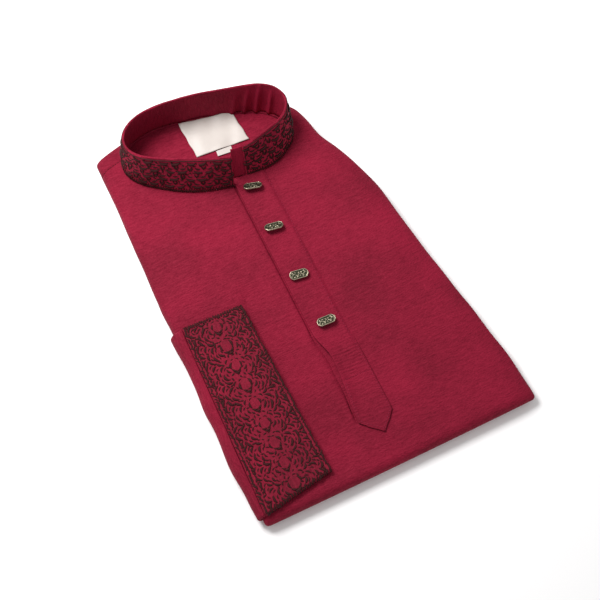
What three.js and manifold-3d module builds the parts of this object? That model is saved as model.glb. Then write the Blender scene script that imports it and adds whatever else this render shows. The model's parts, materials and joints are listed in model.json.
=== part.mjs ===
import * as THREE from "three";
import { mergeVertices } from "three/addons/utils/BufferGeometryUtils.js";
import Module from "manifold-3d";

// A men's kurta folded flat with its front up: collar standing, one cuff brought round to the front.
// Millimetres. While it is built, x = 0 is the placket's centre line, y = 0 the bottom fold,
// +Y runs to the collar and z = 0 is the underside. The group is centred on its base at the end.

const wasm = await Module();
wasm.setup();

// Cloth and seams
const clothWall = 1.3;
const seamGap = 0.3;
const bandWall = 1.1;

// The folded stack
const bottomThickness = 15;
const neckThickness = 24;
const riseLength = 250;
const creviceHeight = 7;
const shoulderFoldDepth = 6;
const bottomCorner = 4;
const shoulderCorner = 3;
const facePoints = 8;
const edgePoints = 3;
const leftTopRadius = 8;
const leftLowRadius = 7;
const rightLowRadius = 4;
// Rings stand at these angles round the bottom and shoulder folds, and at these rows between them
const foldAngles = [14, 34, 56, 90];
const stackRows = [12, 24, 45, 75, 110, 145, 172, 188, 203, 218, 245, 270, 295, 318, 340];

// Hidden layers: two rounded slabs round a core, the lower one drawn in a little
const hiddenRows = [24, 50, 90, 130, 172, 203, 240, 275, 305, 330, 348];
const hiddenLayers = [
  { low: 0, high: 3.7, inset: 0.9 },
  { low: 3.4, high: 7.2, inset: 0.1 },
];
const hiddenEnds = [
  { in: 0.5, squash: 0.35 },
  { in: 1.2, squash: 0.8 },
  { in: 2.2, squash: 1 },
];
const openingSetBack = 3;

// One row for each line across the stack, from the bottom fold to the shoulder fold.
const outline = [
  { leftY: 0, leftLift: 2.2, leftX: -121.5, rightX: 134.3, rightY: 1.2, bulge: -0.6, rightRound: 24 },
  { leftY: 34, leftLift: 0, leftX: -121.5, rightX: 132, rightY: 35, bulge: 0, rightRound: 24 },
  { leftY: 76, leftLift: 0, leftX: -121.5, rightX: 125, rightY: 77, bulge: 0, rightRound: 24 },
  { leftY: 121, leftLift: 0, leftX: -121.5, rightX: 117.6, rightY: 121, bulge: 0, rightRound: 24 },
  { leftY: 165, leftLift: 0, leftX: -121.5, rightX: 110.5, rightY: 166, bulge: 0, rightRound: 24 },
  { leftY: 188, leftLift: 0, leftX: -122.5, rightX: 106.5, rightY: 189, bulge: 0, rightRound: 24 },
  { leftY: 212, leftLift: 0, leftX: -123.5, rightX: 103.5, rightY: 213, bulge: 0, rightRound: 24 },
  { leftY: 240, leftLift: 0, leftX: -122.5, rightX: 99.5, rightY: 240, bulge: 0, rightRound: 24 },
  { leftY: 262, leftLift: 0, leftX: -121.5, rightX: 93.5, rightY: 262, bulge: 1, rightRound: 22 },
  { leftY: 285, leftLift: 0, leftX: -120.5, rightX: 84.5, rightY: 285, bulge: 3, rightRound: 18 },
  { leftY: 305, leftLift: 0, leftX: -120, rightX: 76, rightY: 303, bulge: 5, rightRound: 14 },
  { leftY: 325, leftLift: 0, leftX: -120, rightX: 71.5, rightY: 321, bulge: 9, rightRound: 12 },
  { leftY: 342, leftLift: 0, leftX: -120, rightX: 67, rightY: 335, bulge: 13, rightRound: 12 },
  { leftY: 354, leftLift: 0, leftX: -120, rightX: 61, rightY: 342, bulge: 17, rightRound: 12 },
  { leftY: 364.5, leftLift: 0, leftX: -120, rightX: 57, rightY: 346, bulge: 20, rightRound: 12 },
];
const stackLength = outline[outline.length - 1].leftY;

// Soft folds of the face: centre, half length along the fold, half width, turn from +X, height.
const faceFolds = [
  { x: 62, y: 120, halfLength: 70, halfWidth: 16, turn: 62, height: 0.7 },
  { x: 30, y: 215, halfLength: 48, halfWidth: 13, turn: 74, height: -0.6 },
  { x: -25, y: 96, halfLength: 58, halfWidth: 9, turn: 92, height: -1.1 },
  { x: -82, y: 245, halfLength: 45, halfWidth: 14, turn: 82, height: 0.6 },
];

// The collar: an oval where it is sewn on, a smaller one at its rim, both turned on the stack.
const collarBase = {
  x: -23.2,
  y: 329.7,
  halfLong: 77.3,
  halfShort: 37.6,
  turn: -0.22,
  power: 2.18,
  z: 24.3,
};
const collarRim = {
  x: -19.6,
  y: 337.8,
  halfLong: 74,
  halfShort: 33.2,
  turn: -0.17,
  power: 2,
  z: 60,
};
const collarEnds = { left: -80.3, right: -430.5, underlap: -439 };
const collarBelly = 0.8;
const collarSteps = 54;
// How far the sewn band strays from its two ovals, by angle from the left end round the back.
const collarStray = [
  { angle: -80, base: 3.2, rim: 6 },
  { angle: -98, base: 2, rim: 0.8 },
  { angle: -112, base: 0, rim: -1.8 },
  { angle: -130, base: -2.4, rim: -2.5 },
  { angle: -150, base: -1.8, rim: -1.4 },
  { angle: -180, base: 0.8, rim: 0.4 },
  { angle: -205, base: 2.4, rim: 2.4 },
  { angle: -222, base: 1.7, rim: 2.6 },
  { angle: -238, base: 0.9, rim: 1 },
  { angle: -255, base: -1.2, rim: -1.4 },
  { angle: -285, base: -2.2, rim: -2.8 },
  { angle: -300, base: -0.7, rim: -1 },
  { angle: -315, base: 1, rim: 2.4 },
  { angle: -330, base: 1.6, rim: 3.8 },
  { angle: -345, base: 1.8, rim: 2.6 },
  { angle: -360, base: 1.1, rim: 0.2 },
  { angle: -385, base: -1.4, rim: -1.6 },
  { angle: -405, base: -0.8, rim: -2.4 },
  { angle: -430, base: -3.2, rim: 0 },
  { angle: -440, base: -3.6, rim: -0.5 },
];

// Shoulder seam, from the left fold to the right one; its middle lies inside the neck.
const shoulderSeam = [
  { x: -140, y: 345.4 },
  { x: -98, y: 355 },
  { x: -60, y: 350 },
  { x: 30, y: 330 },
  { x: 51, y: 334 },
  { x: 60, y: 341 },
  { x: 80, y: 350 },
];
const neckLedge = 3.1;
const neckPlate = { reach: 3.5, frontTop: 22.3, backTop: 23.4, riseFrom: 20, riseOver: 14 };

// Sleeve strip round the left fold, and the cuff band it ends in
const sleeve = { wall: 1.2, hollow: 0.9, low: 9.5, high: 184.5, underRun: 7 };
const sleeveThickness = 2 * sleeve.wall + sleeve.hollow;
const sleeveWaves = [
  { y: 9, out: 0.2 },
  { y: 20, out: 0.9 },
  { y: 34, out: 0.9 },
  { y: 50, out: 2.5 },
  { y: 70, out: 2.6 },
  { y: 90, out: 0.9 },
  { y: 109, out: 1.9 },
  { y: 128, out: 0.9 },
  { y: 147, out: 0 },
  { y: 166, out: 0.8 },
  { y: 185, out: 1 },
];
const cuff = { wall: 1.5, hollow: 1.4 };
const cuffCorners = {
  lowLeft: { x: -117, y: 9.2 },
  highLeft: { x: -114.2, y: 184.6 },
  lowRight: { x: -52.4, y: 19.5 },
  highRight: { x: -59.4, y: 182.4 },
};

// Placket: a long strip with one edge a little lifted, then its pointed end
const placket = {
  wall: 1.4,
  lift: 0.9,
  liftFrom: 30,
  liftFull: 70,
  liftEase: 90,
  liftTo: 150,
  liftWidth: 9,
};
const placketBody = {
  highLeft: [-16.1, 296],
  highRight: [15.4, 296],
  lowLeft: [-14.6, 46.4],
  lowRight: [17.6, 45],
  rows: 15,
};
const placketPoint = {
  highLeft: placketBody.lowLeft,
  highRight: placketBody.lowRight,
  lowLeft: [2.3, 30.6],
  lowRight: [3.5, 30.6],
  rows: 3,
};

// A button: plate with cut corners and a raised rim, on a short shank
const button = {
  length: 16.8,
  width: 8.2,
  chamfer: 2.4,
  edge: 0.5,
  plate: 1.3,
  rim: 0.7,
  rimWidth: 1.2,
  shankRadius: 2.2,
  shank: 1.6,
};
// Buttons, top to bottom: centre, turn in plan and tilt about their long axis, in degrees
const buttons = [
  { x: -3.4, y: 277, turn: -16, tilt: -30 },
  { x: -3.0, y: 234, turn: -10, tilt: -22 },
  { x: -2.4, y: 185.6, turn: -9, tilt: 4 },
  { x: 0.6, y: 137.4, turn: -3, tilt: -8 },
];

// Blank woven label and size tab on the inside of the back
const label = {
  wall: 1,
  highLeft: [-37.3, 365.2],
  highRight: [11.5, 356.4],
  lowLeft: [-35, 328.6],
  lowRight: [14.9, 324.4],
};
const sizeTab = {
  wall: 1,
  highLeft: [-17.2, 326.2],
  highRight: [-2.9, 325.2],
  lowLeft: [-18, 320.6],
  lowRight: [-3.9, 319.4],
};

const cloth = { color: 0x8d1f3a, roughness: 0.72, metalness: 0 };
const finishes = {
  cloth: new THREE.MeshStandardMaterial(cloth),
  lining: new THREE.MeshStandardMaterial({ color: 0x7a1a30, roughness: 0.75, metalness: 0 }),
  embroidered: new THREE.MeshStandardMaterial({ color: 0x4a1a24, roughness: 0.6, metalness: 0 }),
  pewter: new THREE.MeshStandardMaterial({ color: 0x6f6a4e, roughness: 0.4, metalness: 0.9 }),
  label: new THREE.MeshStandardMaterial({ color: 0xece4dd, roughness: 0.6, metalness: 0 }),
};

const radians = THREE.MathUtils.degToRad;
const lerp = THREE.MathUtils.lerp;
const rise = (value, from, to) => THREE.MathUtils.smoothstep(value, from, to);

// A smooth curve through one column of a table, by another column that rises or falls steadily.
function tableAt(table, key, column, value) {
  const forward = table[table.length - 1][key] > table[0][key] ? 1 : -1;
  let i = 0;
  while (i < table.length - 2 && forward * table[i + 1][key] < forward * value) {
    i += 1;
  }
  const before = table[Math.max(i - 1, 0)];
  const start = table[i];
  const end = table[i + 1];
  const after = table[Math.min(i + 2, table.length - 1)];
  const span = end[key] - start[key];
  const t = THREE.MathUtils.clamp((value - start[key]) / span, 0, 1);
  const slopeStart = (end[column] - before[column]) / (end[key] - before[key]);
  const slopeEnd = (after[column] - start[column]) / (after[key] - start[key]);
  const t2 = t * t;
  const t3 = t2 * t;
  return (2 * t3 - 3 * t2 + 1) * start[column] + (t3 - 2 * t2 + t) * span * slopeStart
    + (3 * t2 - 2 * t3) * end[column] + (t3 - t2) * span * slopeEnd;
}

// A point between two plan points.
function between(a, b, t) {
  return [lerp(a[0], b[0], t), lerp(a[1], b[1], t)];
}

// A point in a four-cornered patch: across from left to right, along from high to low.
function inPatch(patch, across, along) {
  const high = between(patch.highLeft, patch.highRight, across);
  const low = between(patch.lowLeft, patch.lowRight, across);
  return between(high, low, along);
}

// Height of the stack's face before its edges round down.
function faceHeight(x, y) {
  let z = lerp(bottomThickness, neckThickness, rise(y, 0, riseLength));
  for (const fold of faceFolds) {
    const turn = radians(fold.turn);
    const along = (x - fold.x) * Math.cos(turn) + (y - fold.y) * Math.sin(turn);
    const across = (y - fold.y) * Math.cos(turn) - (x - fold.x) * Math.sin(turn);
    z += fold.height * Math.exp(-((along / fold.halfLength) ** 2) - (across / fold.halfWidth) ** 2);
  }
  return z;
}

// Lower limit of the front panel's side folds: it wraps the bottom fold, then a crevice opens.
function lowLimits(y) {
  const lifted = sleeveThickness + seamGap + 0.1;
  const underSleeve = lifted * rise(y, 1, 6);
  return {
    left: lerp(underSleeve, creviceHeight, rise(y, sleeve.high + 3, sleeve.high + 34)),
    middle: creviceHeight * rise(y, 13, 55),
    right: creviceHeight * rise(y, 13, 55),
  };
}

function rowAt(y) {
  const row = {};
  for (const column of ["leftLift", "leftX", "rightX", "rightY", "bulge", "rightRound"]) {
    row[column] = tableAt(outline, "leftY", column, y);
  }
  row.leftY = y;
  return row;
}

function rowY(row, x) {
  const t = THREE.MathUtils.clamp((x - row.leftX) / (row.rightX - row.leftX), 0, 1);
  return lerp(row.leftY + row.leftLift, row.rightY, t) + row.bulge * 4 * t * (1 - t);
}

// Where rings of the stack stand: rounded over the bottom fold and the shoulder fold.
function stationsFor(inset) {
  const bottomRadius = bottomThickness / 2;
  const stations = [];
  for (const angle of foldAngles) {
    const y = inset + (bottomRadius - inset) * (1 - Math.cos(radians(angle)));
    stations.push({ y, squash: Math.sin(radians(angle)), middle: bottomRadius });
  }
  for (const y of stackRows) {
    stations.push({ y, squash: 1, middle: bottomRadius });
  }
  const shoulderMiddle = (creviceHeight + neckThickness) / 2;
  for (const angle of [...foldAngles].reverse()) {
    const y = stackLength - inset - (shoulderFoldDepth - inset) * (1 - Math.cos(radians(angle)));
    stations.push({ y, squash: Math.sin(radians(angle)), middle: shoulderMiddle });
  }
  return stations;
}

function cornerInset(y) {
  const fromBottom = THREE.MathUtils.clamp(y / bottomCorner, 0, 1);
  const fromTop = THREE.MathUtils.clamp((stackLength - y) / shoulderCorner, 0, 1);
  return bottomCorner * (1 - Math.sqrt(1 - (1 - fromBottom) ** 2))
    + shoulderCorner * (1 - Math.sqrt(1 - (1 - fromTop) ** 2));
}

// One ring round the stack's section, moved inwards by inset.
function stackRing(station, inset) {
  const row = rowAt(station.y);
  const corner = cornerInset(station.y);
  const leftX = row.leftX + corner + inset;
  const rightX = row.rightX - corner - inset;
  const low = lowLimits(station.y);
  const top = (x) => faceHeight(x, rowY(row, x)) - inset;
  const leftMiddle = (low.left + top(leftX)) / 2;
  const rightMiddle = (low.right + top(rightX)) / 2;
  const ring = [];
  const add = (x, z) => {
    const squashed = station.middle + (z - station.middle) * station.squash;
    ring.push(new THREE.Vector3(x, rowY(row, x), squashed));
  };
  const underside = row.leftX + leftLowRadius;
  const underTo = row.rightX - rightLowRadius;
  for (let i = facePoints - 1; i > 2; i -= 1) {
    const t = (i - 2) / (facePoints - 2);
    add(lerp(underside + 20, underTo, t), lerp(low.middle, low.right, t) + inset);
  }
  add(underside + 20, low.middle + inset);
  add(underside + 8, low.left + inset);
  const quarter = (edgeX, direction, lowRadius, topRadius, middle, lowZ, angle) => {
    const radius = (angle < 0 ? lowRadius : topRadius) - inset;
    const x = edgeX + direction * radius * (1 - Math.cos(angle));
    const reach = angle < 0 ? middle - lowZ - inset : top(x) - middle;
    add(x, middle + reach * Math.sin(angle));
  };
  for (let i = -edgePoints; i <= edgePoints; i += 1) {
    const angle = (Math.PI / 2) * (i / edgePoints);
    quarter(leftX, 1, leftLowRadius, leftTopRadius, leftMiddle, low.left, angle);
  }
  const faceFrom = leftX + leftTopRadius - inset;
  const faceTo = rightX - row.rightRound + inset;
  for (let i = 1; i < facePoints; i += 1) {
    const x = lerp(faceFrom, faceTo, i / facePoints);
    add(x, top(x));
  }
  for (let i = edgePoints; i >= -edgePoints; i -= 1) {
    const angle = (Math.PI / 2) * (i / edgePoints);
    quarter(rightX, -1, rightLowRadius, row.rightRound, rightMiddle, low.right, angle);
  }
  return ring;
}

// Triangles between rings of equal count. Closed rings wrap; caps close the two ends.
function loft(rings, capEnds = true) {
  const count = rings[0].length;
  const positions = rings.flat().flatMap((point) => [point.x, point.y, point.z]);
  const index = [];
  for (let r = 0; r < rings.length - 1; r += 1) {
    for (let i = 0; i < count; i += 1) {
      const a = r * count + i;
      const b = r * count + ((i + 1) % count);
      index.push(a, b, b + count, a, b + count, a + count);
    }
  }
  if (capEnds) {
    addCap(rings[0], 0, index, false);
    addCap(rings[rings.length - 1], (rings.length - 1) * count, index, true);
  }
  return facingOut(positions, index);
}

// Closes one ring with strips between its two sides, which hold the same number of points.
function addCap(ring, first, index, reversed) {
  const count = ring.length;
  const start = ring.indexOf(ring.reduce((least, point) => (point.x < least.x - 1e-6 ? point : least)));
  const at = (i) => first + ((start + i + count) % count);
  const put = (a, b, c) => {
    index.push(...(reversed ? [a, b, c] : [a, c, b]));
  };
  for (let i = 0; i < Math.ceil(count / 2); i += 1) {
    const corners = [at(i), at(i + 1), at(-i - 1), at(-i)];
    if (corners[0] !== corners[3]) {
      put(corners[0], corners[1], corners[3]);
    }
    if (corners[1] !== corners[2]) {
      put(corners[1], corners[2], corners[3]);
    }
  }
}

function facingOut(positions, index) {
  let volume = 0;
  const at = (i) => new THREE.Vector3(positions[3 * i], positions[3 * i + 1], positions[3 * i + 2]);
  for (let i = 0; i < index.length; i += 3) {
    volume += at(index[i]).dot(at(index[i + 1]).cross(at(index[i + 2])));
  }
  if (volume < 0) {
    for (let i = 0; i < index.length; i += 3) {
      [index[i + 1], index[i + 2]] = [index[i + 2], index[i + 1]];
    }
  }
  const geometry = new THREE.BufferGeometry();
  geometry.setAttribute("position", new THREE.Float32BufferAttribute(positions, 3));
  geometry.setIndex(index);
  return geometry;
}

// A tube open at both ends: outer and inner rings joined by a flat ring at each end.
function openTube(outer, inner) {
  const count = outer[0].length;
  const rings = [...outer, ...[...inner].reverse()];
  const positions = rings.flat().flatMap((point) => [point.x, point.y, point.z]);
  const index = [];
  for (let r = 0; r < rings.length; r += 1) {
    const next = (r + 1) % rings.length;
    for (let i = 0; i < count; i += 1) {
      const j = (i + 1) % count;
      index.push(r * count + i, r * count + j, next * count + j);
      index.push(r * count + i, next * count + j, next * count + i);
    }
  }
  return facingOut(positions, index);
}

function toSolid(geometry) {
  const bare = geometry.clone();
  bare.deleteAttribute("normal");
  bare.deleteAttribute("uv");
  const merged = mergeVertices(bare, 1e-4);
  return new wasm.Manifold(new wasm.Mesh({
    numProp: 3,
    vertProperties: new Float32Array(merged.attributes.position.array),
    triVerts: new Uint32Array(merged.index.array),
  }));
}

function toGeometry(solid) {
  const mesh = solid.getMesh();
  const geometry = new THREE.BufferGeometry();
  const positions = new Float32Array(mesh.vertProperties);
  geometry.setAttribute("position", new THREE.BufferAttribute(positions, 3));
  geometry.setIndex(new THREE.BufferAttribute(new Uint32Array(mesh.triVerts), 1));
  return geometry;
}

// The front panel's outer surface (inset 0) or a surface inside it.
function stackSlab(inset) {
  const rings = stationsFor(inset).map((station) => stackRing(station, inset));
  return toSolid(loft(rings));
}

// Points along one row, from one x to another at the same height.
function acrossRow(row, fromX, toX, z) {
  const points = [];
  for (let i = 0; i <= facePoints; i += 1) {
    const x = lerp(fromX, toX, i / facePoints);
    points.push(new THREE.Vector3(x, rowY(row, x), z));
  }
  return points;
}

// Opens a slab downwards between its turned-in edges; margin moves its sides in.
function underOpening(margin, floorZ) {
  const rings = [];
  const from = bottomThickness / 2 + openingSetBack + margin;
  const to = stackLength - shoulderFoldDepth - openingSetBack - margin;
  const steps = 14;
  for (let i = 0; i <= steps; i += 1) {
    const row = rowAt(lerp(from, to, i / steps));
    const left = row.leftX + leftLowRadius + margin;
    const right = row.rightX - rightLowRadius - margin;
    const high = bottomThickness / 2 + 2;
    const low = acrossRow(row, left, right, floorZ);
    rings.push([...low, ...acrossRow(row, right, left, high)]);
  }
  return toSolid(loft(rings));
}

// One hidden layer under the front: a slab with rounded edges.
function hiddenLayer({ low, high, inset }) {
  const radius = (high - low) / 2;
  const middle = (high + low) / 2;
  const start = bottomThickness / 2 + openingSetBack + seamGap;
  const rings = [];
  const stations = [
    ...hiddenEnds.map((end) => ({ y: start + end.in, squash: end.squash })),
    ...hiddenRows.map((y) => ({ y, squash: 1 })),
    ...[...hiddenEnds].reverse().map((end) => ({ y: stackLength - inset - end.in, squash: end.squash })),
  ];
  for (const { y, squash } of stations) {
    const row = rowAt(y);
    const corner = cornerInset(y);
    const left = row.leftX + inset + corner;
    const right = row.rightX - inset - corner;
    const ring = [];
    for (const [edge, direction] of [[left, 1], [right, -1]]) {
      for (let i = -2; i <= 2; i += 1) {
        const angle = (Math.PI / 2) * (i / 2) * direction;
        const x = edge + direction * radius * (1 - Math.cos(angle));
        const z = middle + radius * squash * Math.sin(angle);
        ring.push(new THREE.Vector3(x, rowY(row, x), z));
      }
      const far = edge === left ? right - radius : left + radius;
      const face = acrossRow(row, edge + direction * radius, far, middle + direction * radius * squash);
      ring.push(...face.slice(1, -1));
    }
    rings.push(ring);
  }
  return toSolid(loft(rings));
}

// A vertical prism over a polygon in plan.
function prism(polygon, lowZ, highZ) {
  const rings = [lowZ, highZ].map((z) => polygon.map(([x, y]) => new THREE.Vector3(x, y, z)));
  return toSolid(loft(rings));
}

function box(lowX, lowY, lowZ, highX, highY, highZ) {
  return prism([[lowX, lowY], [highX, lowY], [highX, highY], [lowX, highY]], lowZ, highZ);
}

// A point on the collar: angle in degrees, height from 0 at the seam to 1 at the rim, and how far out.
function collarPoint(angle, height, out) {
  const mix = (key) => lerp(collarBase[key], collarRim[key], height);
  const a = mix("halfLong");
  const b = mix("halfShort");
  const power = 2 / mix("power");
  const cos = Math.cos(radians(angle));
  const sin = Math.sin(radians(angle));
  const u = a * Math.sign(cos) * Math.abs(cos) ** power;
  const v = b * Math.sign(sin) * Math.abs(sin) ** power;
  const normal = new THREE.Vector2(u / (a * a), v / (b * b)).normalize();
  const strayOf = (column) => tableAt(collarStray, "angle", column, angle);
  const stray = lerp(strayOf("base"), strayOf("rim"), height);
  const push = stray + out + collarBelly * Math.sin(Math.PI * height);
  const plan = new THREE.Vector2(u, v).addScaledVector(normal, push);
  plan.rotateAround(new THREE.Vector2(), mix("turn"));
  return new THREE.Vector3(mix("x") + plan.x, mix("y") + plan.y, mix("z"));
}

function collarBand(outside, inside, fromAngle, toAngle) {
  const rings = [];
  const heights = [0, 0.34, 0.67, 1];
  for (let i = 0; i <= collarSteps; i += 1) {
    const angle = lerp(fromAngle, toAngle, i / collarSteps);
    rings.push([
      ...heights.map((height) => collarPoint(angle, height, outside)),
      ...[...heights].reverse().map((height) => collarPoint(angle, height, inside)),
    ]);
  }
  return loft(rings);
}

// Plan outline of the collar's seam, moved out (or in, if negative).
function collarOutline(out) {
  const points = [];
  for (let i = 0; i <= collarSteps; i += 1) {
    const point = collarPoint(lerp(collarEnds.left, collarEnds.right, i / collarSteps), 0, out);
    points.push([point.x, point.y]);
  }
  return points;
}

// The inside of the back, seen in the neck: a shallow dish that rises to its seam at the back.
function neckFloor(x, y) {
  const { turn } = collarBase;
  const v = (y - collarBase.y) * Math.cos(turn) - (x - collarBase.x) * Math.sin(turn);
  const share = rise(v, neckPlate.riseFrom, neckPlate.riseFrom + neckPlate.riseOver);
  return lerp(neckPlate.frontTop, neckPlate.backTop, share);
}

function neckDish(reach, above, below) {
  const around = 44;
  const levels = [1, 0.9, 0.75, 0.55, 0.3, 0.05];
  const ringAt = (scale, offset) => {
    const ring = [];
    for (let i = 0; i < around; i += 1) {
      const angle = -(360 * i) / around;
      const u = (collarBase.halfLong + reach) * scale * Math.cos(radians(angle));
      const v = (collarBase.halfShort + reach) * scale * Math.sin(radians(angle));
      const turned = new THREE.Vector2(u, v).rotateAround(new THREE.Vector2(), collarBase.turn);
      const x = collarBase.x + turned.x;
      const y = collarBase.y + turned.y;
      ring.push(new THREE.Vector3(x, y, neckFloor(x, y) + offset));
    }
    return ring;
  };
  const rings = [...levels].reverse().map((scale) => ringAt(scale, above));
  rings.push(...levels.map((scale) => ringAt(scale, -below)));
  return toSolid(loft(rings));
}

// Left side of the front panel: -1 to 0 under it, 0 to 1 the lower curve, 1 to 2 the upper curve.
function leftSide(y, place) {
  const row = rowAt(y);
  const low = lowLimits(y).left;
  const profile = (q) => {
    if (q < 0) {
      return new THREE.Vector2(row.leftX + leftLowRadius - q * sleeve.underRun, low);
    }
    const angle = (Math.PI / 2) * (q - 1);
    const radius = q < 1 ? leftLowRadius : leftTopRadius;
    const x = row.leftX + radius * (1 - Math.cos(angle));
    const middle = (low + faceHeight(row.leftX, y)) / 2;
    const reach = q < 1 ? middle - low : faceHeight(x, y) - middle;
    return new THREE.Vector2(x, middle + reach * Math.sin(angle));
  };
  const step = 0.01;
  const point = profile(place);
  const along = profile(Math.min(place + step, 2)).sub(profile(place - step)).normalize();
  const normal = new THREE.Vector2(-along.y, along.x);
  return { point, normal };
}

function cuffEdge(side, y) {
  const low = cuffCorners[`low${side}`];
  const high = cuffCorners[`high${side}`];
  return lerp(low.x, high.x, (y - low.y) / (high.y - low.y));
}

// A flattened loop: y values there and back, at the two given offsets, with rounded turns.
function flatLoop(ys, pointAt, lowOffset, highOffset, inset) {
  const middle = (lowOffset + highOffset) / 2;
  const bulge = (highOffset - lowOffset) / 2;
  const first = ys[0] + inset;
  const last = ys[ys.length - 1] - inset;
  const inner = ys.slice(1, -1);
  const loop = [];
  loop.push(pointAt(first - bulge * 0.2, middle, 0.5));
  loop.push(pointAt(first + bulge * 0.5, highOffset, 1));
  inner.forEach((y) => loop.push(pointAt(y, highOffset, 1)));
  loop.push(pointAt(last - bulge * 0.5, highOffset, 1));
  loop.push(pointAt(last + bulge * 0.2, middle, 0.5));
  loop.push(pointAt(last - bulge * 0.5, lowOffset, 0));
  [...inner].reverse().forEach((y) => loop.push(pointAt(y, lowOffset, 0)));
  loop.push(pointAt(first + bulge * 0.5, lowOffset, 0));
  return loop;
}

function makeSleeve() {
  const ys = [sleeve.low, 16, 28, 42, 56, 70, 84, 98, 112, 128, 146, 164, 178, sleeve.high];
  const places = [-1, -0.4, 0, 0.35, 0.7, 1, 1.25, 1.5, 1.75, 2];
  const loopAt = (place, lowOffset, highOffset, inset) => {
    const pointAt = (y, offset, waveShare) => {
      const seamX = cuffEdge("Left", y) - 0.4;
      const row = rowAt(y);
      const seamPlace = 1 + Math.acos(1 - (seamX - row.leftX) / leftTopRadius) / (Math.PI / 2);
      const q = place <= 1 ? place : 1 + (place - 1) * (seamPlace - 1);
      const { point, normal } = leftSide(y, q);
      const round = Math.max(0, Math.cos((Math.PI / 2) * (q - 1))) ** 0.7;
      const wave = tableAt(sleeveWaves, "y", "out", y) * round * (0.35 + 0.65 * waveShare);
      const reach = offset + (q < 0 ? 0 : wave);
      return new THREE.Vector3(point.x + normal.x * reach, y, Math.max(point.y + normal.y * reach, 0));
    };
    return flatLoop(ys, pointAt, lowOffset, highOffset, inset);
  };
  const low = seamGap;
  const high = seamGap + sleeveThickness;
  const outer = places.map((place) => loopAt(place, low, high, 0));
  const inner = places.map((place) => loopAt(place, low + sleeve.wall, high - sleeve.wall, sleeve.wall));
  return openTube(outer, inner);
}

// Surface of the front under the cuff, where the left edge rounds down.
function frontSurface(x, y) {
  const row = rowAt(y);
  const flatFrom = row.leftX + leftTopRadius;
  const height = (atX, atY) => {
    const low = lowLimits(y).left;
    const middle = (low + faceHeight(row.leftX, y)) / 2;
    const t = THREE.MathUtils.clamp((flatFrom - atX) / leftTopRadius, 0, 1);
    return middle + (faceHeight(atX, atY) - middle) * Math.sqrt(1 - t * t);
  };
  const step = 0.05;
  const slopeX = (height(x + step, y) - height(x - step, y)) / (2 * step);
  const slopeY = (height(x, y + step) - height(x, y - step)) / (2 * step);
  return { z: height(x, y), normal: new THREE.Vector3(-slopeX, -slopeY, 1).normalize() };
}

function makeCuff() {
  const thickness = 2 * cuff.wall + cuff.hollow;
  const shares = [0, 0.025, 0.06, 0.1, 0.16, 0.35, 0.55, 0.75, 0.92, 1];
  const places = 9;
  const loopAt = (share, lowOffset, highOffset, inset) => {
    const lowY = lerp(cuffCorners.lowLeft.y, cuffCorners.lowRight.y, share);
    const highY = lerp(cuffCorners.highLeft.y, cuffCorners.highRight.y, share);
    const ys = [];
    for (let i = 0; i <= places; i += 1) {
      ys.push(lerp(lowY, highY, i / places));
    }
    const pointAt = (y, offset) => {
      const x = lerp(cuffEdge("Left", y), cuffEdge("Right", y), share);
      const { z, normal } = frontSurface(x, y);
      return new THREE.Vector3(x, y, z).addScaledVector(normal, offset);
    };
    return flatLoop(ys, pointAt, lowOffset, highOffset, inset);
  };
  const low = seamGap;
  const high = seamGap + thickness;
  const outer = shares.map((share) => loopAt(share, low, high, 0));
  const inner = shares.map((share) => loopAt(share, low + cuff.wall, high - cuff.wall, cuff.wall));
  return openTube(outer, inner);
}

// A thin sheet over a grid of plan points: its underside and top are two heights over each point.
function sheetSolid(columns, rows, planAt, underAt, thickness) {
  const rings = [];
  for (let r = 0; r <= rows; r += 1) {
    const ring = [];
    for (let c = 0; c <= columns; c += 1) {
      const [x, y] = planAt(c / columns, r / rows);
      ring.push(new THREE.Vector3(x, y, underAt(x, y) + thickness));
    }
    for (let c = columns; c >= 0; c -= 1) {
      const [x, y] = planAt(c / columns, r / rows);
      ring.push(new THREE.Vector3(x, y, underAt(x, y)));
    }
    rings.push(ring);
  }
  return loft(rings);
}

function placketUnder(x, y) {
  const { lowLeft, highLeft } = placketBody;
  const leftX = lerp(lowLeft[0], highLeft[0], (y - lowLeft[1]) / (highLeft[1] - lowLeft[1]));
  const edge = 1 - rise(x - leftX, 0, placket.liftWidth);
  const begins = rise(y, placket.liftFrom, placket.liftFull);
  const ends = 1 - rise(y, placket.liftEase, placket.liftTo);
  return faceHeight(x, y) + seamGap + placket.lift * edge * begins * ends;
}

function makePlacket() {
  const rows = placketBody.rows + placketPoint.rows;
  const planAt = (across, along) => {
    const row = along * rows;
    if (row <= placketBody.rows) {
      return inPatch(placketBody, across, row / placketBody.rows);
    }
    return inPatch(placketPoint, across, (row - placketBody.rows) / placketPoint.rows);
  };
  const strip = toSolid(sheetSolid(5, rows, planAt, placketUnder, placket.wall));
  return toGeometry(strip.subtract(prism(collarOutline(0.4), 20, 40)));
}

// A flat sheet between four corners, lying on the inside of the back.
function makeLabel(shape) {
  const planAt = (across, along) => inPatch(shape, across, along);
  const underAt = (x, y) => neckFloor(x, y) + seamGap;
  const sheet = toSolid(sheetSolid(4, 6, planAt, underAt, shape.wall));
  return toGeometry(sheet.intersect(prism(collarOutline(-neckLedge - seamGap), 10, 40)));
}

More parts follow.
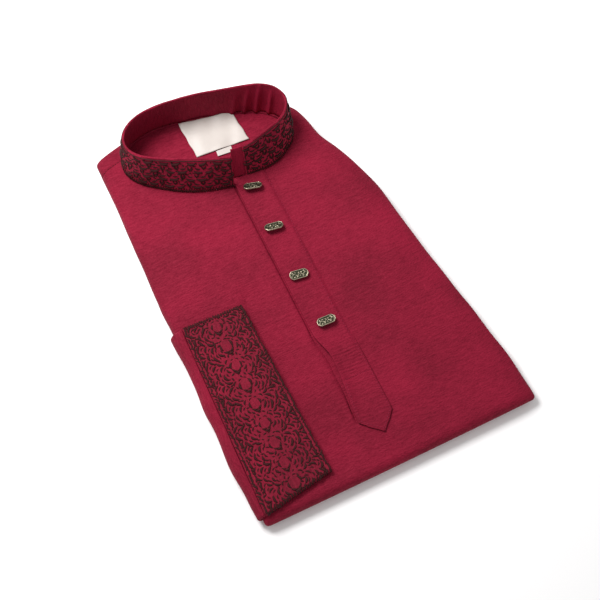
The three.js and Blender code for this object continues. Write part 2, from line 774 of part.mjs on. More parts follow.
// An elongated plate with cut corners and a raised rim, on a short shank.
function makeButton() {
  const plateShape = (inset) => {
    const halfLength = button.length / 2 - inset;
    const halfWidth = button.width / 2 - inset;
    const cut = button.chamfer - inset * 0.4;
    return [
      [halfLength, halfWidth - cut],
      [halfLength - cut, halfWidth],
      [cut - halfLength, halfWidth],
      [-halfLength, halfWidth - cut],
      [-halfLength, cut - halfWidth],
      [cut - halfLength, -halfWidth],
      [halfLength - cut, -halfWidth],
      [halfLength, cut - halfWidth],
    ];
  };
  const plateTop = button.shank + button.plate;
  const ringAt = (inset, z) => plateShape(inset).map(([x, y]) => new THREE.Vector3(x, y, z));
  const body = toSolid(loft([
    ringAt(button.edge, button.shank),
    ringAt(0, button.shank + button.edge),
    ringAt(0, plateTop),
    ringAt(button.edge, plateTop + button.rim),
  ]));
  const recessFoot = ringAt(button.rimWidth + 0.3, plateTop);
  const recess = toSolid(loft([recessFoot, ringAt(button.rimWidth, plateTop + 2)]));
  const postHeight = button.shank + 0.2;
  const post = new THREE.CylinderGeometry(button.shankRadius, button.shankRadius, postHeight, 12);
  post.rotateX(Math.PI / 2);
  post.translate(0, 0, postHeight / 2);
  return toGeometry(body.subtract(recess).add(toSolid(post)));
}

const group = new THREE.Group();

function addPiece(name, geometry, material) {
  const mesh = new THREE.Mesh(geometry, material);
  mesh.name = name;
  group.add(mesh);
  return mesh;
}

// Front, back and hidden layers
const seamPolygon = (shift) => [
  ...shoulderSeam.map(({ x, y }) => [x, y + shift]),
  [120, 430],
  [-160, 430],
];
const wall = stackSlab(0).subtract(stackSlab(clothWall)).subtract(underOpening(0, -5));
const neckHole = prism(collarOutline(-neckLedge), -10, 60);
const beyondSeam = (shift) => prism(seamPolygon(shift), -10, 60);
const front = wall.subtract(beyondSeam(-seamGap / 2)).subtract(neckHole);
const backWall = wall.intersect(beyondSeam(seamGap / 2)).subtract(neckHole);
const back = backWall.add(neckDish(neckPlate.reach, 0, clothWall));

const leftFoldX = outline[0].leftX + leftLowRadius + seamGap;
const sleeveFrom = sleeve.low - 1.2;
const sleeveTo = sleeve.high + 1.2;
const sleeveTop = sleeveThickness + seamGap;
const underSleeve = box(-140, sleeveFrom, -5, leftFoldX + sleeve.underRun, sleeveTo, sleeveTop);
const besideSleeve = box(-140, -10, -5, leftFoldX, sleeveTo, creviceHeight + 2);
const core = stackSlab(clothWall + seamGap).add(underOpening(seamGap, 0));
const hidden = hiddenLayer(hiddenLayers[0])
  .add(hiddenLayer(hiddenLayers[1]))
  .subtract(stackSlab(-seamGap))
  .subtract(besideSleeve)
  .add(core)
  .subtract(neckDish(neckPlate.reach + seamGap, 20, clothWall + seamGap))
  .subtract(underSleeve);

addPiece("front_panel", toGeometry(front), finishes.cloth);
addPiece("back_panel", toGeometry(back), finishes.lining);
addPiece("folded_layers", toGeometry(hidden), finishes.cloth);
addPiece("sleeve", makeSleeve(), finishes.cloth);
addPiece("cuff_band", makeCuff(), finishes.embroidered);
const outerBand = collarBand(0, -bandWall, collarEnds.left, collarEnds.right);
addPiece("collar_outer", outerBand, finishes.embroidered);
const innerFace = -bandWall - seamGap;
const innerBand = collarBand(innerFace, innerFace - bandWall, collarEnds.left, collarEnds.underlap);
addPiece("collar_inner", innerBand, finishes.lining);
addPiece("placket", makePlacket(), finishes.cloth);
addPiece("neck_label", makeLabel(label), finishes.label);
addPiece("size_tab", makeLabel(sizeTab), finishes.label);

buttons.forEach(({ x, y, turn, tilt }, i) => {
  const mesh = addPiece(`button_${i + 1}`, makeButton(), finishes.pewter);
  const lift = (button.width / 2) * Math.abs(Math.sin(radians(tilt))) * 0.5;
  mesh.position.set(x, y, placketUnder(x, y) + placket.wall + seamGap + lift);
  mesh.rotation.set(radians(tilt), 0, radians(turn), "ZXY");
});

// Centre the model on its base.
group.updateMatrixWorld(true);
const bounds = new THREE.Box3().setFromObject(group, true);
const centre = bounds.getCenter(new THREE.Vector3());
group.position.set(-centre.x, -centre.y, -bounds.min.z);

export default group;
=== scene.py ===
import json
import math
import bmesh
import bpy
import numpy as np
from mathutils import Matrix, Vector

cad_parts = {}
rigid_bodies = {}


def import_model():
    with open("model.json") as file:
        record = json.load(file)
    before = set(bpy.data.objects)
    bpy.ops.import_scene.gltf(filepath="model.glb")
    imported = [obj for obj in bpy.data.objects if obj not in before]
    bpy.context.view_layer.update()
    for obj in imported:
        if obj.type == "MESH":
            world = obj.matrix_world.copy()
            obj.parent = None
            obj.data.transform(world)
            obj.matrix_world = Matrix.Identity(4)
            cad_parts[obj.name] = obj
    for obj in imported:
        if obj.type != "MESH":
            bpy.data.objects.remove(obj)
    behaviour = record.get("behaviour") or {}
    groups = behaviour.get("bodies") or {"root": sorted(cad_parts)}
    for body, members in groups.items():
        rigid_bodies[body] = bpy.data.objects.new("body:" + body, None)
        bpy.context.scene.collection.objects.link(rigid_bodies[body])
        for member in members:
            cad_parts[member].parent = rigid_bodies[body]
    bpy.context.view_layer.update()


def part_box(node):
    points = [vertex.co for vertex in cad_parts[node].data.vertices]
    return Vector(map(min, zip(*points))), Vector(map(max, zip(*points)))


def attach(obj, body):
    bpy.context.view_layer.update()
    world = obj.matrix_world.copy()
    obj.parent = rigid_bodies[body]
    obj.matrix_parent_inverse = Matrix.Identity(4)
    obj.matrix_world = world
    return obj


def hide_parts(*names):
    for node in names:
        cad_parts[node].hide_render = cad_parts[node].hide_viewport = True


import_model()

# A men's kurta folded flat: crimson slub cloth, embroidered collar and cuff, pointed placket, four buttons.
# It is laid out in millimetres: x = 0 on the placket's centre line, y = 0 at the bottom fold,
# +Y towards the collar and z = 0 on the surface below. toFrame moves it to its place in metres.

mm = 0.001
placketBody = {
    "highLeft": (-16.1, 296), "highRight": (15.4, 296), "lowLeft": (-14.6, 46.4), "lowRight": (17.6, 45),
}
placketPoint = {
    "highLeft": placketBody["lowLeft"], "highRight": placketBody["lowRight"],
    "lowLeft": (2.3, 30.6), "lowRight": (3.5, 30.6),
}
placketLow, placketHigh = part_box("placket")
cornerX, tipY = placketBody["lowRight"][0], placketPoint["lowRight"][1]
shift = np.array([placketHigh.x / mm - cornerX, placketLow.y / mm - tipY, 0])


def toFrame(points):
    return (np.asarray(points, float) + shift) * mm


def mix(a, b, t):
    return a + (b - a) * t


def rise(value, low, high):
    t = np.clip((np.asarray(value, float) - low) / (high - low), 0, 1)
    return t * t * (3 - 2 * t)


# Rises from 0 to 1 between the first two places and falls back between the last two.
def stretch(value, fromLow, toHigh, fromHigh, toLow):
    return rise(value, fromLow, toHigh) * (1 - rise(value, fromHigh, toLow))


def xyz(x, y, z):
    return np.stack(np.broadcast_arrays(x, y, z), -1)


def table(columns, rows):
    return dict(zip(columns, np.array(rows, float).T))


# A smooth curve through one column of a table, by another column that rises or falls steadily.
def tableAt(rows, key, column, value):
    keys, values = rows[key], rows[column]
    if keys[-1] < keys[0]:
        keys, values = keys[::-1], values[::-1]
    i = np.clip(np.searchsorted(keys, value, side="right") - 1, 0, len(keys) - 2)
    before, after = np.maximum(i - 1, 0), np.minimum(i + 2, len(keys) - 1)
    span = keys[i + 1] - keys[i]
    t = np.clip((value - keys[i]) / span, 0, 1)
    slopeIn = (values[i + 1] - values[before]) / (keys[i + 1] - keys[before]) * span
    slopeOut = (values[after] - values[i]) / (keys[after] - keys[i]) * span
    ease = t * t * (3 - 2 * t)
    return mix(values[i], values[i + 1], ease) + t * (1 - t) * ((1 - t) * slopeIn - t * slopeOut)


# The folded stack
stack = {
    "length": 364.5, "bottomThickness": 15, "neckThickness": 24, "riseLength": 250, "crevice": 7,
    "shoulderFold": 6, "bottomCorner": 4, "shoulderCorner": 3, "leftTop": 8, "leftLow": 7, "rightLow": 4,
}
outlineColumns = ("leftY", "leftLift", "leftX", "rightX", "rightY", "bulge", "rightRound")
outline = table(outlineColumns, [
    (0, 2.2, -121.5, 134.3, 1.2, -0.6, 24),
    (34, 0, -121.5, 132, 35, 0, 24),
    (76, 0, -121.5, 125, 77, 0, 24),
    (121, 0, -121.5, 117.6, 121, 0, 24),
    (165, 0, -121.5, 110.5, 166, 0, 24),
    (188, 0, -122.5, 106.5, 189, 0, 24),
    (212, 0, -123.5, 103.5, 213, 0, 24),
    (240, 0, -122.5, 99.5, 240, 0, 24),
    (262, 0, -121.5, 93.5, 262, 1, 22),
    (285, 0, -120.5, 84.5, 285, 3, 18),
    (305, 0, -120, 76, 303, 5, 14),
    (325, 0, -120, 71.5, 321, 9, 12),
    (342, 0, -120, 67, 335, 13, 12),
    (354, 0, -120, 61, 342, 17, 12),
    (364.5, 0, -120, 57, 346, 20, 12),
])
# Folds of the face: centre, half length, half width, turn in degrees, height
mainFolds = [
    (62, 120, 70, 16, 62, 0.7),
    (30, 215, 48, 13, 74, -0.6),
    (-25, 96, 58, 9, 92, -1.1),
    (-82, 245, 45, 14, 82, 0.6),
]
softCreases = [
    (48, 96, 34, 5, 58, -0.35),
    (74, 160, 40, 7, 66, 0.3),
    (95, 62, 30, 6, 40, -0.3),
    (66, 258, 26, 6, 118, -0.4),
    (84, 236, 22, 5, 110, 0.3),
    (-60, 262, 30, 6, 25, -0.25),
    (-88, 300, 26, 5, 60, -0.3),
    (-104, 322, 18, 4, 75, 0.3),
    (-45, 224, 30, 7, 85, -0.25),
    (-36, 60, 26, 4, 80, -0.3),
    (-90, 4, 30, 5, 4, 0.25),
    (20, 14, 44, 5, 5, -0.3),
    (96, 18, 30, 4, 8, 0.25),
    (34, 60, 30, 6, 96, -0.3),
]


def foldSum(folds, x, y):
    total = 0
    for cx, cy, halfLength, halfWidth, turn, height in folds:
        c, s = math.cos(math.radians(turn)), math.sin(math.radians(turn))
        along = (x - cx) * c + (y - cy) * s
        across = (y - cy) * c - (x - cx) * s
        total = total + height * np.exp(-(along / halfLength) ** 2 - (across / halfWidth) ** 2)
    return total


def faceHeight(x, y):
    level = mix(stack["bottomThickness"], stack["neckThickness"], rise(y, 0, stack["riseLength"]))
    return level + foldSum(mainFolds, x, y)


sleeve = {"wall": 1.2, "hollow": 0.9, "low": 9.5, "high": 184.5, "underRun": 7, "shellWall": 0.8}
sleeveThickness = 2 * sleeve["wall"] + sleeve["hollow"]
seamGap = 0.3


def lowLimits(s):
    underSleeve = (sleeveThickness + seamGap + 0.1) * rise(s, 1, 6)
    left = mix(underSleeve, stack["crevice"], rise(s, sleeve["high"] + 3, sleeve["high"] + 34))
    return left, stack["crevice"] * rise(s, 13, 55)


def outlineAt(column, s):
    return tableAt(outline, "leftY", column, s)


def rowY(s, x):
    t = np.clip((x - outlineAt("leftX", s)) / (outlineAt("rightX", s) - outlineAt("leftX", s)), 0, 1)
    height = mix(s + outlineAt("leftLift", s), outlineAt("rightY", s), t)
    return height + outlineAt("bulge", s) * 4 * t * (1 - t)


# A point of the stack's outer face. s is its row and part the stretch of the section: 0 underside,
# 1 and 2 left fold below and above, 3 face, 4 and 5 right fold above and below. t runs along the part.
def stackPoint(s, part, t):
    top, bottom = stack["shoulderFold"], stack["bottomThickness"] / 2
    fromTop = stack["length"] - s
    corner = 0
    for away, size in ((s, stack["bottomCorner"]), (fromTop, stack["shoulderCorner"])):
        corner = corner + size * (1 - np.sqrt(1 - (1 - np.clip(away / size, 0, 1)) ** 2))
    leftX, rightX = outlineAt("leftX", s) + corner, outlineAt("rightX", s) - corner
    turned = rise(s, 0, 9) * rise(fromTop, 0, 9)
    upperRight = outlineAt("rightRound", s)
    lowerLeft = mix(stack["leftTop"], stack["leftLow"], turned)
    lowerRight = mix(upperRight, stack["rightLow"], turned)
    opening = math.pi / 2 * np.where((part == 1) | (part == 4), 1 - t, t)
    leftRadius = np.where(part == 1, lowerLeft, stack["leftTop"])
    rightRadius = np.where(part == 5, lowerRight, upperRight)
    x = np.select([part == 0, part <= 2, part == 3], [
        mix(rightX - lowerRight, leftX + lowerLeft, t),
        leftX + leftRadius * (1 - np.cos(opening)),
        mix(leftX + stack["leftTop"], rightX - upperRight, t),
    ], rightX - rightRadius * (1 - np.cos(opening)))
    y = rowY(s, x)
    lowLeft, lowRight = lowLimits(s)
    lowHere = mix(lowLeft, lowRight, rise(x - leftX - stack["leftLow"], 8, 20))
    low = np.where(part == 0, lowHere, np.where(part <= 2, lowLeft, lowRight))
    edgeX = np.where(part <= 2, leftX, rightX)
    middle = (low + faceHeight(edgeX, rowY(s, edgeX))) / 2
    sine = np.where((part == 1) | (part == 5), -np.sin(opening), np.sin(opening))
    reach = np.where(sine < 0, middle - low, faceHeight(x, y) - middle)
    z = np.select([part == 0, part == 3], [lowHere, faceHeight(x, y)], middle + reach * sine)
    nearBottom, nearTop = np.clip(1 - s / bottom, 0, 1), np.clip(1 - fromTop / top, 0, 1)
    squash = np.sqrt(1 - nearBottom ** 2) * np.sqrt(1 - nearTop ** 2)
    fold = np.where(s < stack["length"] / 2, bottom, (stack["crevice"] + stack["neckThickness"]) / 2)
    return xyz(x, y, fold + (z - fold) * squash)


def ringParts(face, left, right):
    counts = (face, left, left, face, right, right)
    part = np.concatenate([np.full(n, k) for k, n in enumerate(counts)])
    t = np.concatenate([np.arange(n) / n for n in counts])
    return part, t


def unit(v):
    return v / np.maximum(np.linalg.norm(v, axis=-1, keepdims=True), 1e-9)


def gridNormals(points, wrap):
    across = np.roll(points, -1, 1) - np.roll(points, 1, 1)
    if not wrap:
        across[:, 0] = points[:, 1] - points[:, 0]
        across[:, -1] = points[:, -1] - points[:, -2]
    return unit(np.cross(across, np.gradient(points, axis=0)))


def gridFaces(rows, columns, wrap):
    i, j = np.meshgrid(np.arange(rows - 1), np.arange(columns if wrap else columns - 1), indexing="ij")
    k = (j + 1) % columns
    corners = [i * columns + j, i * columns + k, (i + 1) * columns + k, (i + 1) * columns + j]
    return np.stack(corners, -1).reshape(-1, 4)


# Distances along a grid both ways, so that a weave keeps its size over the folds.
def weaveOf(points, wrap=False):
    alongRow = np.linalg.norm(np.diff(points, axis=1, prepend=points[:, :1]), axis=-1).cumsum(1)
    alongColumn = np.linalg.norm(np.diff(points, axis=0, prepend=points[:1]), axis=-1).cumsum(0)
    alongRow = alongRow - alongRow[:, points.shape[1] // 2, None]
    return xyz(alongRow, alongColumn, 0)


def signedVolume(points, faces):
    a, b, c, d = (points[faces[:, k]] for k in range(4))
    return (np.cross(b - a, c - a) * a).sum() + (np.cross(c - a, d - a) * a).sum()


attributeKinds = {
    "FLOAT_VECTOR": ("vector", np.float32), "FLOAT": ("value", np.float32), "INT": ("value", np.int32),
}


def giveAttribute(mesh, name, kind, values):
    field, number = attributeKinds[kind]
    mesh.attributes.new(name, kind, "POINT").data.foreach_set(field, np.asarray(values, number).ravel())


def weaveValues(piece):
    values = np.empty(len(piece.data.vertices) * 3, np.float32)
    piece.data.attributes["weave"].data.foreach_get("vector", values)
    return values


def newPiece(name, points, faces, weave, material):
    mesh = bpy.data.meshes.new(name)
    mesh.from_pydata(toFrame(points).tolist(), [], [list(map(int, f)) for f in faces])
    giveAttribute(mesh, "weave", "FLOAT_VECTOR", weave)
    mesh.shade_smooth()
    mesh.materials.append(material)
    piece = bpy.data.objects.new(name, mesh)
    bpy.context.scene.collection.objects.link(piece)
    return piece


def cleanMesh(piece, distance=0.02 * mm, recalculate=False):
    work = bmesh.new()
    work.from_mesh(piece.data)
    bmesh.ops.remove_doubles(work, verts=work.verts, dist=distance)
    bmesh.ops.dissolve_degenerate(work, edges=work.edges, dist=distance / 4)
    if recalculate:
        bmesh.ops.recalc_face_normals(work, faces=work.faces)
    work.to_mesh(piece.data)
    work.free()


# Runs a piece's modifiers and keeps the plain mesh that they make.
def bake(piece):
    depsgraph = bpy.context.evaluated_depsgraph_get()
    mesh = bpy.data.meshes.new_from_object(piece.evaluated_get(depsgraph), depsgraph=depsgraph)
    old = piece.data
    piece.modifiers.clear()
    piece.data = mesh
    mesh.name = piece.name
    bpy.data.meshes.remove(old)
    return piece


# Gives an open sheet its wall, inwards from the face that shows.
def thicken(piece, wall):
    solid = piece.modifiers.new("wall", "SOLIDIFY")
    solid.thickness = wall * mm
    solid.offset = -1
    return bake(piece)


def faceUp(points, faces):
    centres = points[faces].mean(1)
    top = centres[:, 2].argmax()
    a, b, c, d = points[faces[top]]
    return faces if np.cross(c - a, d - b)[2] > 0 else faces[:, ::-1]


def gridSheet(name, points, wall, material, wrap=False):
    rows, columns = points.shape[:2]
    flat = points.reshape(-1, 3)
    faces = faceUp(flat, gridFaces(rows, columns, wrap))
    return thicken(newPiece(name, flat, faces, weaveOf(points), material), wall)


# Faces of a tube of rings, with both ends capped by the last two points.
def loftFaces(points, rows, columns):
    faces = gridFaces(rows, columns, True)
    if signedVolume(points, faces) < 0:
        faces = faces[:, ::-1]
    base, end = (rows - 1) * columns, rows * columns
    pairs = [(j, (j + 1) % columns) for j in range(columns)]
    return [*faces, *[[k, j, end] for j, k in pairs], *[[base + j, base + k, end + 1] for j, k in pairs]]


def closedLoft(name, rings, material, weave=None):
    points = np.concatenate([rings.reshape(-1, 3), rings[:1].mean(1), rings[-1:].mean(1)])
    weave = weaveOf(rings, True) if weave is None else weave
    weave = np.concatenate([weave.reshape(-1, 3), weave[:1].mean(1), weave[-1:].mean(1)])
    piece = newPiece(name, points, loftFaces(points, *rings.shape[:2]), weave, material)
    cleanMesh(piece, recalculate=True)
    return piece


def colour(hexValue, alpha=1.0):
    def toLinear(v):
        return v / 12.92 if v <= 0.04045 else ((v + 0.055) / 1.055) ** 2.4
    parts = [int(hexValue[i:i + 2], 16) / 255 for i in (1, 3, 5)]
    return (*map(toLinear, parts), alpha)


# Adds a node with its settings; inputs are values or the sockets that feed them.
def addNode(tree, kind, inputs=None, **settings):
    node = tree.nodes.new(kind)
    for name, value in settings.items():
        setattr(node, name, value)
    for key, value in (inputs or {}).items():
        if isinstance(value, bpy.types.NodeSocket):
            tree.links.new(value, node.inputs[key])
        else:
            node.inputs[key].default_value = value
    return node


def newMaterial(name, rough, **settings):
    material = bpy.data.materials.new(name)
    material.use_nodes = True
    shader = material.node_tree.nodes["Principled BSDF"]
    shader.inputs["Roughness"].default_value = rough
    for key, value in settings.items():
        shader.inputs[key].default_value = value
    return material, material.node_tree, shader


# A pattern's place on the cloth: an attribute in mm, divided by the size of the pattern's marks
def patternAt(tree, attribute, sizes):
    place = addNode(tree, "ShaderNodeAttribute", attribute_name=attribute).outputs["Vector"]
    shares = tuple(1 / v for v in sizes)
    return addNode(tree, "ShaderNodeVectorMath", {0: place, 1: shares}, operation="MULTIPLY").outputs[0]


def noise(tree, attribute, sizes, detail, **more):
    place = patternAt(tree, attribute, sizes)
    return addNode(
        tree, "ShaderNodeTexNoise", {"Vector": place, "Scale": 1.0, "Detail": detail, **more}).outputs["Fac"]


def waveBands(tree, attribute, sizes, direction, **more):
    place = patternAt(tree, attribute, sizes)
    return addNode(
        tree, "ShaderNodeTexWave", {"Vector": place, **more}, wave_type="BANDS",
        bands_direction=direction).outputs["Fac"]


def blend(tree, factor, a, b):
    return addNode(tree, "ShaderNodeMix", {"Factor": factor, "A": a, "B": b}).outputs["Result"]


def dyed(tree, factor, dark, light):
    mixed = addNode(tree, "ShaderNodeMix", {"Factor": factor, "A": dark, "B": light}, data_type="RGBA")
    return mixed.outputs[2]


def limits(tree, value, **ends):
    named = {name[:-3] + " " + name[-3:]: end for name, end in ends.items()}
    return addNode(tree, "ShaderNodeMapRange", {"Value": value, **named}, clamp=True).outputs["Result"]


def coverWith(tree, shader, base, relief, strength, distance):
    bump = addNode(tree, "ShaderNodeBump", {
        "Height": relief, "Strength": strength, "Distance": distance * mm})
    tree.links.new(base, shader.inputs["Base Color"])
    tree.links.new(bump.outputs["Normal"], shader.inputs["Normal"])


# Plain-woven slubbed cotton blend: matt with a faint bloom, its thick weft threads run across as fine streaks
slub = {
    "streak": (8.0, 1.9, 1.0),   # length and height of a slub, 0.5 mm high in the cloth, drawn coarser
    "grain": (1.8, 1.0, 1.0),    # the threads between them, 0.35 mm in the cloth
    "shade": (60.0, 45.0, 1.0),  # broad uneven dye
    "mark": (1.2, 2.4, 1.0),     # ground stitches under the embroidery, 0.8 mm wide
    "relief": 1.0, "roughLow": 0.7, "roughHigh": 0.9,
}


def slubCloth(name, light, dark, ground=None):
    material, tree, shader = newMaterial(name, 0.8, **{
        "Sheen Weight": 0.06, "Sheen Roughness": 0.45, "Sheen Tint": colour("#c8506c"),
        "Specular IOR Level": 0.16})
    streak = noise(tree, "weave", slub["streak"], 2.0, Roughness=0.6)
    relief = blend(tree, 0.45, streak, noise(tree, "weave", slub["grain"], 1.0))
    tone = blend(tree, 0.4, relief, noise(tree, "weave", slub["shade"], 2.0))
    base = dyed(tree, limits(tree, tone, FromMin=0.36, FromMax=0.64), colour(dark), colour(light))
    if ground:
        marks = noise(tree, "weave", slub["mark"], 1.0, Distortion=1.2)
        base = dyed(tree, limits(tree, marks, FromMin=0.54, FromMax=0.62, ToMax=0.22), base, colour(ground))
    rough = limits(tree, relief, FromMin=0.35, FromMax=0.65, ToMin=slub["roughHigh"], ToMax=slub["roughLow"])
    tree.links.new(rough, shader.inputs["Roughness"])
    coverWith(tree, shader, base, relief, 1.0, slub["relief"])
    return material


# Rayon embroidery thread in satin stitch: dark olive-brown, laid side by side, a soft gleam over each leaf
def satinThread(name, light, dark, rough):
    material, tree, shader = newMaterial(name, rough, **{
        "Sheen Weight": 0.03, "Sheen Tint": colour("#8a5c54"), "Specular IOR Level": 0.14})
    # 0.3 mm threads, drawn at 0.8 mm
    strands = waveBands(tree, "thread", (1.0, 4.0, 1.0), "X", Scale=0.39, Distortion=0.6)
    tone = blend(tree, 0.5, strands, noise(tree, "thread", (3.0, 3.0, 3.0), 1.0))
    coverWith(tree, shader, dyed(tree, tone, colour(dark), colour(light)), strands, 0.8, 0.08)
    return material


# Off-white polyester satin, woven: smooth, with fine ribs and an even soft gleam
def wovenSatin(name, light, dark):
    material, tree, shader = newMaterial(name, 0.45, **{"Sheen Weight": 0.1})
    # 0.3 mm ribs, drawn at 0.9 mm
    weft = waveBands(tree, "weave", (1.0, 1.0, 1.0), "Y", Scale=0.35, Distortion=0.8, Detail=1.0)
    patch = noise(tree, "weave", (9.0, 9.0, 1.0), 2.0)
    coverWith(tree, shader, dyed(tree, patch, colour(dark), colour(light)), weft, 0.5, 0.04)
    return material


# Cast brass, antiqued: dark green-black patina in the recess, rubbed bright on the rim and the vine
def antiquedBrass(name, bright, patina):
    material, tree, shader = newMaterial(name, 0.36, Metallic=1.0)
    raised = addNode(tree, "ShaderNodeAttribute", attribute_name="raised").outputs["Fac"]
    place = addNode(tree, "ShaderNodeTexCoord").outputs["Object"]
    # Handling wear in 1.2 mm patches
    wear = addNode(tree, "ShaderNodeTexNoise", {
        "Vector": place, "Scale": 800.0, "Detail": 2.0}).outputs["Fac"]
    rubbed = addNode(tree, "ShaderNodeMath", {0: raised, 1: wear}, operation="MULTIPLY").outputs[0]
    shown = limits(tree, rubbed, FromMin=0.08, FromMax=0.45)
    tree.links.new(dyed(tree, shown, colour(patina), colour(bright)), shader.inputs["Base Color"])
    tree.links.new(limits(tree, shown, ToMin=0.6, ToMax=0.36), shader.inputs["Roughness"])
    return material


groundShade = "#33201f"
crimson = slubCloth("crimson slub cotton, woven", "#8c1330", "#680b21")
# Painted light: this copy of the cloth is painted lighter than the plain crimson, standing in for more light
# inside the collar
crimsonInsideLit = slubCloth("crimson slub cotton, woven, inside", "#a01838", "#761129")
crimsonGround = slubCloth("crimson slub cotton under embroidery", "#88142e", "#620d21", groundShade)
# Painted light: the collar's ground is painted lighter than the cuff's, for light on the collar front, which
# faces away from the key lamp
crimsonCollarLit = slubCloth(
    "crimson slub cotton under embroidery, interlined", "#aa1d3d", "#7e152e", groundShade)
darkThread = satinThread("dark olive rayon thread, satin stitched", "#47191b", "#1b0809", 0.66)
redThread = satinThread("crimson polyester thread, sewn", "#a02c48", "#80203a", 0.6)
labelSatin = wovenSatin("off-white polyester satin, woven", "#c8c0b9", "#bdb5ae")
buttonBrass = antiquedBrass("brass, cast and antiqued", "#a89e88", "#34372a")
print("materials made")

cuff = {
    "wall": 1.5, "hollow": 1.4, "shellWall": 1.3,
    "lowLeft": (-117, 9.2), "highLeft": (-114.2, 184.6),
    "lowRight": (-52.4, 19.5), "highRight": (-59.4, 182.4),
}

# The front and the back: one skin round the stack, parted at the shoulder seam.
# Each stretch along the stack gives where a form starts, is full, starts to end and has ended.
body = {
    "wall": 1.0, "face": 122, "left": 12, "right": 14, "rowPitch": 2.1, "seamRow": 345.0, "opening": 10.5,
    "edgeColumns": (0.35, 0.7, 1.1, 1.6, 2.2, 3.0, 4.2), "edgeStep": 0.0023,   # close columns by the placket
    "seamRows": (0.4, 0.8, 1.4, 2.2, 3.4, 5), "rowsPastSeam": (7.5, 10), "seamDip": 0.45, "seamWidth": 1.1,
    "rollIn": 5.8, "rollStretch": (38, 104, 106, 134),
    "creviceOut": 0.5, "creviceWidth": 1.2, "creviceDeep": 2.6, "creviceShallow": 1.5,
    "creviceStretch": (44, 60, 284, 298),
    "hollowDeep": 4.6, "hollowIn": 2, "hollowWidth": 5.5, "hollowStretch": (60, 98, 112, 138),
    "cuffDip": 4.2, "cuffDipOut": 11, "cuffDipWidth": 8.5, "cuffDipStretch": (2, 34, 172, 204),
    "sideWave": 0.35, "neckLedge": 3.1,
}
shoulderSeam = table(("x", "y"), [
    (-140, 345.4), (-98, 355), (-60, 350), (30, 330), (51, 334), (60, 341), (80, 350),
])


def bodyRing():
    part, t = ringParts(body["face"], body["left"], body["right"])
    close = np.array(body["edgeColumns"]) * body["edgeStep"]
    face = np.sort(np.concatenate([t[part == 3], 0.5 - close, 0.5 + close]))
    before, after = part < 3, part > 3
    part = np.concatenate([part[before], np.full(len(face), 3), part[after]])
    return part, np.concatenate([t[before], face, t[after]])


def stackRows():
    angles = np.radians([0, 8, 16, 26, 38, 52, 70, 90])
    bottom = stack["bottomThickness"] / 2 * (1 - np.cos(angles))
    shoulder = stack["length"] - stack["shoulderFold"] * (1 - np.cos(angles[::-1]))
    fromY, toY = stack["bottomThickness"] / 2 + body["rowPitch"], body["seamRow"] - 7
    count = round((toY - fromY) / body["rowPitch"])
    close = np.array(body["seamRows"])
    seamRows = body["seamRow"] + np.concatenate([-close[::-1], [0], close, body["rowsPastSeam"]])
    return np.concatenate([bottom, np.linspace(fromY, toY, count), seamRows, shoulder])


# The placket's left edge rolls inwards below the last button.
def edgeBow(y):
    return body["rollIn"] * stretch(y, *body["rollStretch"])


# Columns of the face are moved across, row by row, so that the middle one runs beside the placket's
# left edge, where they lie closest.
def beside(s):
    (lowX, lowY), (highX, highY) = placketBody["lowLeft"], placketBody["highLeft"]
    return np.interp(s, [lowY, highY], [lowX, highX]) + edgeBow(s) - body["creviceOut"]


def movedAcross(s, part, t):
    left = outlineAt("leftX", s) + stack["leftTop"]
    share = (beside(s) - left) / (outlineAt("rightX", s) - outlineAt("rightRound", s) - left)
    moved = np.where(t < 0.5, 2 * t * share, mix(share, 1, 2 * t - 1))
    return np.where(part == 3, moved, t)


# Rows near the seam are moved along the stack, column by column, so that one of them lies on it.
def seamedRows(rows, part, t):
    trial = np.linspace(296, 358, 125)
    place = trial[:, None]
    points = stackPoint(place, part, movedAcross(place, part, t))
    past = points[..., 1] - np.interp(points[..., 0], shoulderSeam["x"], shoulderSeam["y"])
    reached = np.argmax(past > 0, axis=0)
    before = np.maximum(reached - 1, 0)
    columns = np.arange(len(t))
    share = -past[before, columns] / np.maximum(past[reached, columns] - past[before, columns], 1e-6)
    seamAt = np.clip(mix(trial[before], trial[reached], np.clip(share, 0, 1)), 300, 355)
    seam, end = body["seamRow"], stack["length"] - stack["shoulderFold"]
    s, start = rows[:, None], 286
    below = np.clip((s - start) / (seam - start), 0, 1)
    above = np.clip((s - seam) / (end - seam), 0, 1)
    moved = np.where(s <= seam, s + below * (seamAt - seam), mix(seamAt, end, above))
    return np.where((s > start) & (s < end), moved, s)


collarColumns = ("angle", "base", "rim")
collarStray = table(collarColumns, [
    (-80, 3.2, 6), (-98, 2, 0.8), (-112, 0, -1.8), (-130, -2.4, -2.5), (-150, -1.8, -1.4),
    (-180, 0.8, 0.4), (-205, 2.4, 2.4), (-222, 1.7, 2.6), (-238, 0.9, 1), (-255, -1.2, -1.4),
    (-285, -2.2, -2.8), (-300, -0.7, -1), (-315, 1, 2.4), (-330, 1.6, 3.8), (-345, 1.8, 2.6),
    (-360, 1.1, 0.2), (-385, -1.4, -1.6), (-405, -0.8, -2.4), (-430, -3.2, 0), (-440, -3.6, -0.5),
])
collarBase = {
    "x": -23.2, "y": 329.7, "halfLong": 77.3, "halfShort": 37.6, "turn": -0.22, "power": 2.18, "z": 24.3,
}
collarRim = {"x": -19.6, "y": 337.8, "halfLong": 74, "halfShort": 33.2, "turn": -0.17, "power": 2, "z": 60}
collarEnds = {"left": -80.3, "right": -430.5, "underlap": -439, "belly": 0.8}


